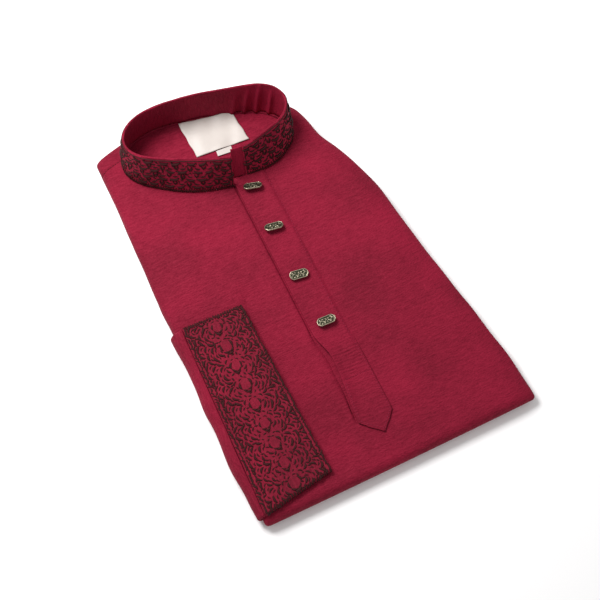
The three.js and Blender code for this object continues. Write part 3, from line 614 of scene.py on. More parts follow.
# A point of the collar by angle in degrees, height from 0 at the seam to 1 at the rim, and way out.
def collarPoint(angle, height, out):
    angle, height = np.broadcast_arrays(np.asarray(angle, float), height)
    at = {key: mix(collarBase[key], collarRim[key], height) for key in collarBase}
    cos, sin = np.cos(np.radians(angle)), np.sin(np.radians(angle))
    u = at["halfLong"] * np.sign(cos) * np.abs(cos) ** (2 / at["power"])
    v = at["halfShort"] * np.sign(sin) * np.abs(sin) ** (2 / at["power"])
    normalU, normalV = u / at["halfLong"] ** 2, v / at["halfShort"] ** 2
    size = np.hypot(normalU, normalV)
    stray = mix(*(tableAt(collarStray, "angle", end, angle) for end in ("base", "rim")), height)
    push = (stray + out + collarEnds["belly"] * np.sin(math.pi * height)) / size
    u, v = u + normalU * push, v + normalV * push
    turnCos, turnSin = np.cos(at["turn"]), np.sin(at["turn"])
    return xyz(at["x"] + u * turnCos - v * turnSin, at["y"] + u * turnSin + v * turnCos, at["z"])


def collarOutline(out, count=240):
    return collarPoint(np.linspace(collarEnds["left"], collarEnds["right"], count), 0, out)[:, :2]


def insideOutline(points, polygon):
    x, y = points[:, 0, None], points[:, 1, None]
    ax, ay = polygon[:, 0], polygon[:, 1]
    bx, by = np.roll(ax, -1), np.roll(ay, -1)
    crosses = ((ay > y) != (by > y)) & (x < (bx - ax) * (y - ay) / (by - ay + 1e-12) + ax)
    return crosses.sum(1) % 2 == 1


def makeBody():
    part, t = bodyRing()
    rows = stackRows()
    s = seamedRows(rows, part, t)
    points = stackPoint(s, part, movedAcross(s, part, t))
    normals = gridNormals(points, True)
    outward = 1 if normals[len(rows) // 2, np.flatnonzero(part == 3)[20], 2] > 0 else -1
    normals = normals * outward
    x, y = points[..., 0], points[..., 1]
    inner = rise(s, 4, 12) * rise(stack["length"] - s, 4, 12)
    detail = foldSum(softCreases, x, y) * inner
    fromSeam = (s - seamedRows(np.array([body["seamRow"]]), part, t)) / body["seamWidth"]
    detail = detail - body["seamDip"] * np.exp(-fromSeam ** 2) * np.where(part == 0, 0, 1)
    # Three troughs of the face: under the placket's edge, inside its roll and beside the cuff
    crevice = mix(body["creviceDeep"], body["creviceShallow"], rise(y, 118, 150))
    crevice = crevice * stretch(y, *body["creviceStretch"])
    hollow = body["hollowDeep"] * stretch(y, *body["hollowStretch"])
    dip = body["cuffDip"] * stretch(y, *body["cuffDipStretch"])
    fromEdge = x - beside(s)
    (lowX, lowY), (highX, highY) = cuff["lowRight"], cuff["highRight"]
    fromCuff = x - np.interp(y, [lowY, highY], [lowX, highX]) - body["cuffDipOut"]
    for deep, away, width in (
        (crevice, fromEdge, body["creviceWidth"]), (hollow, fromEdge - body["hollowIn"], body["hollowWidth"]),
        (dip, fromCuff, body["cuffDipWidth"]),
    ):
        detail = detail - deep * np.exp(-(away / width) ** 2) * (part == 3)
    side = np.where((part == 0) | (part == 3), 0, 1)
    uneven = np.sin(y / 17 + x / 60) + 0.6 * np.sin(y / 7.3 + 1.4)
    detail = detail + side * inner * body["sideWave"] * uneven
    points = points + normals * detail[..., None]
    weave = weaveOf(points, True)
    count = len(part)
    faces = gridFaces(len(rows), count, True)
    flat = points.reshape(-1, 3)
    if signedVolume(flat, faces) < 0:
        faces = faces[:, ::-1]
    centres = flat[faces].mean(1)
    facePart = part[faces[:, 0] % count]
    row = faces.min(1) // count
    under = (facePart == 0) & (rows[row] > body["opening"]) & (rows[row] < stack["length"] - 9)
    neckHole = collarOutline(-body["neckLedge"])
    inHole = insideOutline(centres, neckHole) & (centres[:, 2] > 15)
    seamRow = int(np.argmin(np.abs(rows - body["seamRow"])))
    body["seamLine"] = (points[seamRow], normals[seamRow], part)
    keep = ~under & ~inHole
    pieces = []
    for name, chosen in (("front_cloth", keep & (row < seamRow)), ("back_cloth", keep & (row >= seamRow))):
        piece = newPiece(name, flat, faces[chosen], weave.reshape(-1, 3), crimson)
        cleanMesh(piece)
        snapToHole(piece, neckHole)
        pieces.append(thicken(piece, body["wall"]))
    return pieces


# Loose points go, and the cut edge round the neck is drawn onto the collar's line.
def snapToHole(piece, hole):
    work = bmesh.new()
    work.from_mesh(piece.data)
    bmesh.ops.delete(work, geom=[v for v in work.verts if not v.link_faces], context="VERTS")
    line = toFrame(np.column_stack([hole, np.zeros(len(hole))]))[:, :2]
    for v in work.verts:
        if v.is_boundary and v.co.z > 15 * mm:
            away = np.hypot(line[:, 0] - v.co.x, line[:, 1] - v.co.y)
            if away.min() < 3 * mm:
                v.co.x, v.co.y = line[away.argmin()]
    work.to_mesh(piece.data)
    work.free()


frontCloth, backCloth = makeBody()
print("front and back made")

# The inside of the back, seen through the collar
neck = {"reach": 3.5, "frontTop": 22.3, "backTop": 23.4, "riseFrom": 20, "riseTo": 34, "wall": 1.0}
turnedCos, turnedSin = math.cos(collarBase["turn"]), math.sin(collarBase["turn"])


def neckFloor(x, y):
    v = (y - collarBase["y"]) * turnedCos - (x - collarBase["x"]) * turnedSin
    return mix(neck["frontTop"], neck["backTop"], rise(v, neck["riseFrom"], neck["riseTo"]))


# Small gathers where the floor meets the collar, mostly at the left end
neckGathers = [
    (-88, 338, 12, 1.8, 10, -0.5), (-84, 345, 13, 1.6, -12, 0.4), (-80, 351, 14, 1.8, -28, -0.5),
    (-72, 330, 16, 2.4, 30, -0.4), (-60, 322, 14, 2.6, 40, 0.3), (20, 352, 12, 2.6, 60, -0.4),
    (34, 340, 14, 2.4, 20, 0.3), (-20, 336, 26, 5, 5, -0.25),
]


def makeNeckFloor():
    angle = np.linspace(0, 2 * math.pi, 121)[:-1]
    scale = np.linspace(0.02, 1, 34)[:, None]
    u = (collarBase["halfLong"] + neck["reach"]) * scale * np.cos(angle)
    v = (collarBase["halfShort"] + neck["reach"]) * scale * np.sin(angle)
    x, y = collarBase["x"] + u * turnedCos - v * turnedSin, collarBase["y"] + u * turnedSin + v * turnedCos
    z = neckFloor(x, y) + foldSum(neckGathers, x, y) * rise(1.06 - scale, 0, 0.2)
    flat = xyz(x, y, z).reshape(-1, 3)
    faces = faceUp(flat, gridFaces(len(scale), len(angle), True))
    return thicken(newPiece("neck_floor", flat, faces, flat, crimson), neck["wall"])


neckFloorCloth = makeNeckFloor()

# Hidden layers: rounded slabs whose edges lie unevenly, under a core that fills the fold
hidden = {
    "slabs": [(0.0, 2.3, 1.6, 1.0), (2.35, 4.6, 0.5, 2.3), (4.65, 7.0, 1.1, 4.1)],   # low, high, inset, phase
    "coreInset": 1.8, "lowRoom": 14.5, "highRoom": 8,   # the sleeve's room beside the low and the high slabs
    "rows": 84, "around": 9, "across": 26, "fromBottom": 3.4, "fromTop": 0.4, "leastHeight": 0.05,
    "corner": 3, "neckGap": 0.4, "offFloor": 0.3,
}


def makeSlab(low, high, inset, phase):
    radius, middle = (high - low) / 2, (high + low) / 2
    ends = np.array([0, 0.15, 0.5, 1.1, 2])
    lastRow = stack["length"] - inset - hidden["fromTop"]
    firstRow = stack["bottomThickness"] / 2 + hidden["fromBottom"]
    between = np.linspace(firstRow + 5, lastRow - 5, hidden["rows"])
    rows = np.concatenate([firstRow + ends, between, lastRow - ends[::-1]])
    reach = np.minimum(rows - firstRow, lastRow - rows)
    squash = np.maximum(np.sqrt(1 - (1 - np.clip(reach / radius, 0, 1)) ** 2), hidden["leastHeight"])
    wander = 0.45 * np.sin(rows / 23 + phase * 2) + 0.3 * np.sin(rows / 9.5 + phase * 5)
    sleeveRoom = 1 - rise(rows, sleeve["high"] + 1.5, sleeve["high"] + 5)
    leftInset = inset + wander + sleeveRoom * (hidden["lowRoom"] if low < 4 else hidden["highRoom"])
    rightInset = inset + 0.45 * np.sin(rows / 27 + phase * 3) + 0.3 * np.sin(rows / 11 + phase)
    angle = np.radians(np.linspace(-90, 90, hidden["around"]))
    away = radius * (1 - np.cos(angle))
    across = np.linspace(0, 1, hidden["across"])[1:-1]
    side = radius * np.sin(angle)
    z = np.concatenate([side, radius + 0 * across, side[::-1], -radius + 0 * across])
    left = outlineAt("leftX", rows) + leftInset
    right = outlineAt("rightX", rows) - rightInset
    rings = []
    for i, s in enumerate(rows):
        nearEnd = 1 - min((lastRow - s) / hidden["corner"], 1)
        corner = hidden["corner"] * (1 - math.sqrt(1 - nearEnd ** 2))
        a, b = left[i] + corner, right[i] - corner
        top, bottom = mix(a + radius, b - radius, across), mix(b - radius, a + radius, across)
        x = np.concatenate([a + away, top, b - away[::-1], bottom])
        rings.append(xyz(x, rowY(s, x), middle + z * squash[i]))
    return np.array(rings)


def makeHidden():
    parts = [closedLoft("slab", makeSlab(*slab), crimson) for slab in hidden["slabs"]]
    part, t = ringParts(40, 5, 6)
    rows = stackRows()[::2]
    points = stackPoint(rows[:, None], part, t)
    normals = gridNormals(points, True)
    if normals[len(rows) // 2, 60, 2] < 0:
        normals = -normals
    points = points - normals * hidden["coreInset"]
    nearNeck = insideOutline(points[..., :2].reshape(-1, 2), collarOutline(6)).reshape(points.shape[:2])
    floor = neckFloor(points[..., 0], points[..., 1]) - neck["wall"] - hidden["neckGap"]
    points[..., 2] = np.where(nearNeck, np.minimum(points[..., 2], floor), points[..., 2])
    points[..., 2] = np.maximum(points[..., 2], hidden["offFloor"])
    parts.append(closedLoft("core", points, crimson))
    return joinPieces("hidden_layers", parts)


def joinPieces(name, parts):
    with bpy.context.temp_override(active_object=parts[0], selected_editable_objects=parts, object=parts[0]):
        bpy.ops.object.join()
    parts[0].name = name
    parts[0].data.name = name
    return parts[0]


hiddenLayers = makeHidden()
print("hidden layers made")

# The sleeve's strip round the left fold, and the cuff band it ends in
sleeveWaves = table(("y", "out"), [
    (9, 0.2), (20, 0.9), (34, 0.9), (50, 2.5), (70, 2.6), (90, 0.9),
    (109, 1.9), (128, 0.9), (147, 0), (166, 0.8), (185, 1),
])


def cuffEdge(side, y):
    (lowX, lowY), (highX, highY) = cuff["low" + side], cuff["high" + side]
    return mix(lowX, highX, (y - lowY) / (highY - lowY))


def leftSide(y, place):
    left, low = outlineAt("leftX", y), lowLimits(y)[0]

    def profile(q):
        angle = math.pi / 2 * (q - 1)
        radius = np.where(q < 1, stack["leftLow"], stack["leftTop"])
        x = left + radius * (1 - np.cos(angle))
        middle = (low + faceHeight(left, y)) / 2
        reach = np.where(q < 1, middle - low, faceHeight(x, y) - middle)
        onSide = np.stack([x, middle + reach * np.sin(angle)], -1)
        under = np.stack([left + stack["leftLow"] - q * sleeve["underRun"], low + 0 * q], -1)
        return np.where((q < 0)[..., None], under, onSide)

    step = 0.01
    along = unit(profile(np.minimum(place + step, 2)) - profile(place - step))
    return profile(place), np.stack([-along[..., 1], along[..., 0]], -1)


# A flattened loop: y there and back with round turns, and where each point lies between two heights.
def flatLoop(count, turn):
    run = np.linspace(0, 1, count)
    angle = np.linspace(0, math.pi, turn + 2)[1:-1]
    share = np.concatenate([run, np.ones(turn), run[::-1], np.zeros(turn)])
    swing = np.concatenate([0 * run, np.sin(angle), 0 * run, -np.sin(angle)])
    level = np.concatenate([0 * run + 1, (1 + np.cos(angle)) / 2, 0 * run, (1 - np.cos(angle)) / 2])
    return share, swing, level


def makeSleeve():
    share, swing, level = flatLoop(100, 5)
    places = np.concatenate([np.linspace(-1, 0, 5)[:-1], np.linspace(0, 2, 30)])[:, None]
    half = sleeveThickness / 2
    y = mix(sleeve["low"] + half, sleeve["high"] - half, share) + swing * half
    seamX = cuffEdge("Left", y) - 0.4
    reachX = np.clip(1 - (seamX - outlineAt("leftX", y)) / stack["leftTop"], -1, 1)
    seamPlace = 1 + np.arccos(reachX) / (math.pi / 2)
    q = np.where(places <= 1, places, 1 + (places - 1) * (seamPlace - 1))
    point, normal = leftSide(y, q)
    around = np.maximum(0, np.cos(math.pi / 2 * (q - 1))) ** 0.7
    wave = tableAt(sleeveWaves, "y", "out", y) * around * (0.35 + 0.65 * level)
    fine = 0.18 * np.sin(y / 4.6 + q * 1.3) * around * level
    reach = seamGap + sleeveThickness * level + np.where(q < 0, 0, wave + fine)
    x, z = point[..., 0] + normal[..., 0] * reach, point[..., 1] + normal[..., 1] * reach
    return gridSheet("sleeve_cloth", xyz(x, y, np.maximum(z, 0)), sleeve["shellWall"], crimson, wrap=True)


def frontSurface(x, y):
    left, low = outlineAt("leftX", y), lowLimits(y)[0]

    def height(atX, atY):
        middle = (low + faceHeight(left, y)) / 2
        t = np.clip((left + stack["leftTop"] - atX) / stack["leftTop"], 0, 1)
        return middle + (faceHeight(atX, atY) - middle) * np.sqrt(1 - t * t)

    step = 0.05
    slopeX = (height(x + step, y) - height(x - step, y)) / (2 * step)
    slopeY = (height(x, y + step) - height(x, y - step)) / (2 * step)
    return height(x, y), unit(xyz(-slopeX, -slopeY, 1))


cuffCreases = [
    (-84, 40, 26, 5, 20, -0.3), (-76, 96, 24, 6, 160, 0.25),
    (-92, 140, 22, 5, 35, -0.25), (-66, 160, 16, 4, 80, -0.25),
]


# A point of the cuff: across from the sleeve seam to the open edge, along from its low end, and its level.
def cuffPoint(across, along, level, swing=0, out=0):
    half = cuff["wall"] + cuff["hollow"] / 2
    lowY = mix(cuff["lowLeft"][1], cuff["lowRight"][1], across)
    highY = mix(cuff["highLeft"][1], cuff["highRight"][1], across)
    y = mix(lowY + half, highY - half, along) + swing * (half + out)
    x = mix(cuffEdge("Left", y), cuffEdge("Right", y), across)
    z, normal = frontSurface(x, y)
    lift = seamGap + half + (half + out) * (2 * level - 1) + foldSum(cuffCreases, x, y) * level
    return xyz(x, y, z) + normal * lift[..., None]


def makeCuff():
    share, swing, level = flatLoop(96, 6)
    across = np.concatenate([np.linspace(0, 0.16, 14)[:-1], np.linspace(0.16, 1, 34)])[:, None]
    ragged = 0.35 * np.sin(share * 61) + 0.25 * np.sin(share * 143 + 1)
    edge = np.clip((across - 0.96) / 0.04, 0, 1) * ragged * 0.006
    points = cuffPoint(across + edge, share, level, swing)
    return gridSheet("cuff_cloth", points, cuff["shellWall"], crimsonGround, wrap=True)


sleeveCloth = makeSleeve()
cuffCloth = makeCuff()
print("sleeve and cuff made")

# The standing collar: outer band, and the inner band whose end runs on under the other
collar = {"bandWall": 0.8, "bandGap": 0.1, "steps": 300, "levels": 16, "wrinkleLean": 9}
innerFace = -collar["bandWall"] - collar["bandGap"]
# Creases of the inner band: angle, reach upwards, width in degrees, depth
collarWrinkles = [
    (-293, 0.45, 1.6, -2.3), (-298, 0.5, 1.7, 1.4), (-302.5, 0.5, 1.5, -2.7), (-307, 0.5, 1.8, 1.4),
    (-312, 0.65, 1.7, -2.4), (-318, 0.5, 2.0, 1.2), (-324, 0.55, 2.0, -1.8), (-262, 0.3, 3, -0.8),
    (-280, 0.4, 2, -1.2), (-232, 0.3, 3.4, 0.5), (-205, 0.4, 3, -0.6), (-180, 0.5, 3, 0.35),
]


def wrinkled(angle, height):
    total = 0 * angle
    for at, reachUp, width, depth in collarWrinkles:
        away = (angle - at + collar["wrinkleLean"] * (height - 0.3)) / width
        total = total + depth * np.exp(-away ** 2) * rise(reachUp + 0.45 - height, 0, 0.5)
    return total


def collarBand(name, outside, inside, toAngle, material, detail):
    angle = np.linspace(collarEnds["left"], toAngle, collar["steps"])[:, None]
    height = np.linspace(0, 1, collar["levels"])
    up, down = angle * 0 + height, angle * 0 + height[::-1]
    outer = collarPoint(angle, up, outside + detail(angle, up))
    inner = collarPoint(angle, down, inside + detail(angle, down))
    rim = collarPoint(angle, 1, (outside + inside) / 2 + detail(angle, 0 * angle + 1))
    rim = rim + [0, 0, (outside - inside) / 2]
    rings = np.concatenate([outer, rim.reshape(-1, 1, 3), inner], 1)
    along = np.linalg.norm(np.diff(rings[:, 4], axis=0, prepend=rings[:1, 4]), axis=-1).cumsum()
    return closedLoft(name, rings, material, xyz(rings[..., 2], along[:, None], 0))


def soft(angle, height):
    return 0.12 * np.sin(angle / 9) * height


collarOuterCloth = collarBand(
    "collar_outer_cloth", 0, -collar["bandWall"], collarEnds["right"], crimsonCollarLit, soft)
collarInnerCloth = collarBand(
    "collar_inner_cloth", innerFace, innerFace - collar["bandWall"], collarEnds["underlap"], crimsonInsideLit,
    lambda angle, height: np.minimum(soft(angle, height) + wrinkled(angle, height), 0.1))
print("collar made")

# The placket: a long strip with a lifted edge, cross puckers near its foot and a stitched point
placket = {
    "wall": 1.4, "shellWall": 1.0, "wide": 32, "rollShare": 1.5,
    "lift": 1.3, "liftWidth": 9, "liftStretch": (30, 70, 90, 150),
    "lip": 0.5, "lipWidth": 7, "lipFrom": (46, 62), "lipTo": (282, 296),
    "sewnWidth": 5, "sewnFrom": (92, 122), "sewnSink": 0.15, "rightEdgeDrop": 0.4,
    "ribHeight": 0.26, "ribPitch": 2.9, "ribStretch": (83, 90, 108, 128),
    "crossSeam": 84, "crossDip": 0.35, "buckle": 0.3, "closeRows": (130, 80), "scallop": 0.35,
}


def patchPoint(patch, across, along):
    def between(a, b, t):
        return mix(np.array(a, float), np.array(b, float), np.asarray(t)[..., None])
    high = between(patch["highLeft"], patch["highRight"], across)
    low = between(patch["lowLeft"], patch["lowRight"], across)
    return mix(high, low, np.asarray(along)[..., None])


def placketUnder(x, y):
    (lowX, lowY), (highX, highY) = placketBody["lowLeft"], placketBody["highLeft"]
    edge = 1 - rise(x - edgeBow(y) - mix(lowX, highX, (y - lowY) / (highY - lowY)), 0, placket["liftWidth"])
    return faceHeight(x, y) + seamGap + placket["lift"] * edge * stretch(y, *placket["liftStretch"])


def placketPlan(across, along):
    strip = patchPoint(placketBody, across, np.minimum(along, 1))
    strip[..., 0] += edgeBow(strip[..., 1]) * (1 - across) ** placket["rollShare"]
    tip = patchPoint(placketPoint, across, np.clip(along - 1, 0, 1))
    return np.where((along <= 1)[..., None], strip, tip)


# The strip's upper face: flush along its right edge, which is sewn down, except at the end panel
def placketTop(x, y, across):
    fromLeft, fromRight = across * placket["wide"], (1 - across) * placket["wide"]
    fromEdge = np.minimum(fromLeft, fromRight)
    z = placketUnder(x, y) + placket["wall"] + foldSum(softCreases, x, y)
    sewnDown = (1 - rise(fromRight, 0, placket["sewnWidth"])) * rise(y, *placket["sewnFrom"])
    z = z - (placket["wall"] + seamGap + placket["sewnSink"]) * sewnDown
    lip = placket["lip"] * (1 - rise(fromLeft, 0, placket["lipWidth"]))
    z = z + lip * stretch(y, *placket["lipFrom"], *placket["lipTo"])
    z = z - placket["rightEdgeDrop"] * (1 - rise(fromRight, 0, 1.5)) * (1 - sewnDown)
    uneven = 0.6 + 0.4 * np.sin(x / 3.1 + y / 9) * np.sin(y / 5.3 + 1)
    puckers = np.sin(y * 2 * math.pi / placket["ribPitch"] + 1.1 * np.sin(x / 6) + 0.8 * np.sin(y / 4))
    puckers = placket["ribHeight"] * puckers * stretch(y, *placket["ribStretch"]) * uneven
    z = z + puckers * rise(fromEdge, 0.5, 4)
    fromCross = (y - placket["crossSeam"] + x * 0.03) / 0.6
    z = z - placket["crossDip"] * np.exp(-fromCross ** 2) * rise(fromEdge, 1, 3)
    buckle = placket["buckle"] * np.sin(y / 13 + x / 9) * np.exp(-((y - 190) / 90) ** 2)
    return z + buckle * rise(fromEdge, 1, 8)


def makePlacket():
    across = np.linspace(0, 1, 40)
    puckered = 1 - (np.array(placket["closeRows"]) - 46) / 250
    along = np.concatenate([
        np.linspace(0.012, puckered[0], 86)[:-1], np.linspace(*puckered, 112)[:-1],
        np.linspace(puckered[1], 1, 22), 1 + np.linspace(0, 1, 16)[1:]])[:, None]
    plan = placketPlan(*np.broadcast_arrays(across, along))
    x, y = plan[..., 0], plan[..., 1]
    scallop = placket["scallop"] * np.sin(y / 1.9) * rise(52 - y, 0, 10) * (across - 0.5) * 2
    points = xyz(x + scallop, y, placketTop(x, y, across))
    return gridSheet("placket_cloth", points, placket["shellWall"], crimson)


placketCloth = makePlacket()
print("placket made")

# Blank woven label and size tab, inside the back
labels = {
    "label_blank": {
        "highLeft": (-37.3, 365.2), "highRight": (11.5, 356.4),
        "lowLeft": (-35, 328.6), "lowRight": (14.9, 324.4),
    },
    "size_tab_blank": {
        "highLeft": (-17.2, 326.2), "highRight": (-2.9, 325.2),
        "lowLeft": (-18, 320.6), "lowRight": (-3.9, 319.4),
    },
}


def makeLabel(name, wave):
    across, along = np.meshgrid(np.linspace(0, 1, 46), np.linspace(0, 1, 34))
    plan = patchPoint(labels[name], across, along)
    x, y = plan[..., 0], plan[..., 1]
    fromEdge = np.minimum(np.minimum(across, 1 - across), np.minimum(along, 1 - along))
    ripple = wave * (np.sin(x / 5.2 + y / 11) + 0.6 * np.sin(x / 2.9 - y / 7 + 2))
    z = neckFloor(x, y) + seamGap + 1 + ripple * (1 - rise(fromEdge, 0, 0.4) * 0.7)
    stray = 0.25 * np.sin(y / 2.3) * (1 - rise(fromEdge, 0, 0.1))
    return gridSheet(name, xyz(x + stray, y + stray, z), 0.5, labelSatin)


labelSheet = makeLabel("label_blank", 0.34)
tabSheet = makeLabel("size_tab_blank", 0.05)
print("labels made")

# Satin-stitched leaves and plain stitches: small closed shapes that one tree sets out on the cloth.
# Length, width and height in mm, and bend in radians; their order is the number that a mark carries.
threadShapes = {
    "leaf": (6.6, 2.8, 0.9, 0.0), "leafLeft": (8.8, 2.8, 1.0, 0.85), "leafRight": (8.8, 2.8, 1.0, -0.85),
    "curlLeft": (10.6, 3.5, 1.4, 1.1), "curlRight": (10.6, 3.5, 1.4, -1.1),
    "rope": (3.9, 1.7, 1.0, 0.4), "stitch": (2.3, 0.55, 0.35, 0.0),
}
pointedEnds = 1.6   # the power of a leaf's outline, pointed at 1 and blunt at 3
shapeNumber = {name: k for k, name in enumerate(threadShapes)}
mirrored = {
    "leafLeft": "leafRight", "leafRight": "leafLeft", "curlLeft": "curlRight", "curlRight": "curlLeft",
}


def makeThreadShape(number, name):
    length, width, height, bend = threadShapes[name]
    bend = bend or 1e-4
    t = np.linspace(-1, 1, 9)
    turn = bend * t
    half = width / 2 * (1 - np.abs(t) ** pointedEnds)
    up = height * np.sqrt(half / half.max())
    spine = xyz(length / 2 * np.sin(turn) / bend, length / 2 * (1 - np.cos(turn)) / bend, 0)
    spine = spine - [0, spine[:, 1].mean(), 0]
    side = xyz(-np.sin(turn), np.cos(turn), 0)
    angle = np.linspace(0, math.pi, 5)
    rings = spine[:, None] + side[:, None] * (half[:, None] * -np.cos(angle))[..., None]
    rings = (rings + np.array([0, 0, 1]) * (up[:, None] * np.sin(angle))[..., None])[1:-1]
    points = np.concatenate([rings.reshape(-1, 3), spine[:1], spine[-1:]])
    mesh = bpy.data.meshes.new(f"{number}_{name}")
    faces = loftFaces(points, *rings.shape[:2])
    mesh.from_pydata((points * mm).tolist(), [], [list(map(int, f)) for f in faces])
    giveAttribute(mesh, "thread", "FLOAT_VECTOR", points)
    mesh.shade_smooth()
    shape = bpy.data.objects.new(mesh.name, mesh)
    cleanMesh(shape, 0.001 * mm, recalculate=True)
    return shape


shapeBox = bpy.data.collections.new("thread shapes")
for number, name in enumerate(threadShapes):
    shapeBox.objects.link(makeThreadShape(number, name))


# Points with lie, along, size and shape attributes become shapes laid on the cloth.
def buildScatterTree():
    tree = bpy.data.node_groups.new("lay threads", "GeometryNodeTree")
    for name, kind, value in (
        ("Marks", "Geometry", None), ("Shapes", "Collection", None), ("Size", "Float", 1.0),
        ("Uneven size", "Float", 0.1), ("Uneven turn", "Float", 0.1), ("Seed", "Int", 1),
        ("Thread", "Material", None),
    ):
        socket = tree.interface.new_socket(name, in_out="INPUT", socket_type="NodeSocket" + kind)
        if value is not None:
            socket.default_value = value
    tree.interface.new_socket("Threads", in_out="OUTPUT", socket_type="NodeSocketGeometry")
    given = addNode(tree, "NodeGroupInput").outputs

    def marked(name, kind):
        return addNode(tree, "GeometryNodeInputNamedAttribute", {"Name": name}, data_type=kind).outputs[0]

    def maths(operation, a, b):
        return addNode(tree, "ShaderNodeMath", {0: a, 1: b}, operation=operation).outputs[0]

    def uneven(spread, shift):
        low, high = maths("MULTIPLY", given[spread], -1.0), given[spread]
        seed = maths("ADD", given["Seed"], float(shift))
        return addNode(
            tree, "FunctionNodeRandomValue", {2: low, 3: high, "Seed": seed}, data_type="FLOAT").outputs[1]

    upright = addNode(
        tree, "FunctionNodeAlignRotationToVector", {"Vector": marked("lie", "FLOAT_VECTOR")}, axis="Z")
    turned = addNode(tree, "FunctionNodeAlignRotationToVector", {
        "Rotation": upright.outputs[0], "Vector": marked("along", "FLOAT_VECTOR")}, axis="X", pivot_axis="Z")
    strayTurn = addNode(tree, "ShaderNodeCombineXYZ", {"Z": uneven("Uneven turn", 0)})
    strayTurn = addNode(tree, "FunctionNodeEulerToRotation", {0: strayTurn.outputs[0]})
    laid = addNode(tree, "FunctionNodeRotateRotation", {
        0: turned.outputs[0], 1: strayTurn.outputs[0]}, rotation_space="LOCAL")
    sized = maths("MULTIPLY", maths("ADD", uneven("Uneven size", 7), 1.0), marked("size", "FLOAT"))
    sized = maths("MULTIPLY", sized, given["Size"])
    box = addNode(tree, "GeometryNodeCollectionInfo", {
        "Collection": given["Shapes"], "Separate Children": True, "Reset Children": True})
    points = addNode(tree, "GeometryNodeMeshToPoints", {"Mesh": given["Marks"]})
    laidOut = addNode(tree, "GeometryNodeInstanceOnPoints", {
        "Points": points.outputs[0], "Instance": box.outputs[0], "Pick Instance": True,
        "Instance Index": marked("shape", "INT"), "Rotation": laid.outputs[0], "Scale": sized})
    real = addNode(tree, "GeometryNodeRealizeInstances", {0: laidOut.outputs[0]})
    threaded = addNode(tree, "GeometryNodeSetMaterial", {0: real.outputs[0], "Material": given["Thread"]})
    addNode(tree, "NodeGroupOutput", {0: threaded.outputs[0]})
    return tree


scatterTree = buildScatterTree()


# Marks are rows of place, lie, along, size and shape, in mm. Strays are of turn in radians and size.
def layThreads(name, marks, thread, seed, strayTurn, straySize):
    marks = np.asarray(marks)
    mesh = bpy.data.meshes.new(name)
    mesh.from_pydata(toFrame(marks[:, :3]).tolist(), [], [])
    columns = {"lie": ("FLOAT_VECTOR", marks[:, 3:6]), "along": ("FLOAT_VECTOR", marks[:, 6:9]),
               "size": ("FLOAT", marks[:, 9]), "shape": ("INT", marks[:, 10])}
    for key, (kind, values) in columns.items():
        giveAttribute(mesh, key, kind, values)
    piece = bpy.data.objects.new(name, mesh)
    bpy.context.scene.collection.objects.link(piece)
    laying = piece.modifiers.new("lay threads", "NODES")
    laying.node_group = scatterTree
    given = {"Shapes": shapeBox, "Thread": thread, "Seed": seed,
             "Uneven turn": strayTurn, "Uneven size": straySize}
    for item in scatterTree.interface.items_tree:
        if item.in_out == "INPUT" and item.name in given:
            laying[item.identifier] = given[item.name]
    bake(piece)
    for key in columns:
        if key in piece.data.attributes:
            piece.data.attributes.remove(piece.data.attributes[key])
    piece.data.shade_smooth()
    return piece


# Marks on a surface from a layout of across, up, turn in degrees, size and shape name
def marksOn(surface, layout):
    a, b, turn, size = np.array([row[:4] for row in layout], float).T
    shape = np.array([shapeNumber[row[4]] for row in layout])
    step = 0.3
    place = surface(a, b, 0)
    overA = surface(a + step, b, 0) - surface(a - step, b, 0)
    overB = surface(a, b + step, 0) - surface(a, b - step, 0)
    lie = unit(np.cross(overA, overB))
    lie = lie * np.sign(((surface(a, b, 1) - place) * lie).sum(-1, keepdims=True))
    overA = unit(overA)
    upward = np.cross(lie, overA)
    upward = upward * np.sign((upward * overB).sum(-1, keepdims=True))
    turn = np.radians(turn)[:, None]
    return np.column_stack([place, lie, overA * np.cos(turn) + upward * np.sin(turn), size, shape])


# Small leaves where the motifs leave cloth bare: seeded places are tried in turn, and kept if nothing lies
# close. Each range is of place across, place along, turn and size.
def fillGaps(layout, ranges, gap, seed, clear=()):
    uneven = np.random.default_rng(seed)
    taken = [(m[0], m[1]) for m in layout]
    added = []
    for a, b, turn, size in zip(*(uneven.uniform(low, high, 5000) for low, high in ranges)):
        near = np.array(taken)
        bare = np.hypot(near[:, 0] - a, near[:, 1] - b).min() > gap
        if bare and all(math.hypot(a - x, b - y) > r for x, y, r in clear):
            taken.append((a, b))
            added.append((a, b, turn, size, "leaf"))
    return layout + added


# A motif moved to its place, mirrored if it is flipped
def placed(motif, a, b, flip=False, size=1.0, turned=0.0):
    c, s = math.cos(math.radians(turned)), math.sin(math.radians(turned))
    marks = []
    for x, y, turn, k, shape in motif:
        across, up, turn = (x * c - y * s) * size, (x * s + y * c) * size, turn + turned
        if flip:
            across, turn, shape = -across, 180 - turn, mirrored.get(shape, shape)
        marks.append((a + across, b + up, turn, k * size, shape))
    return marks


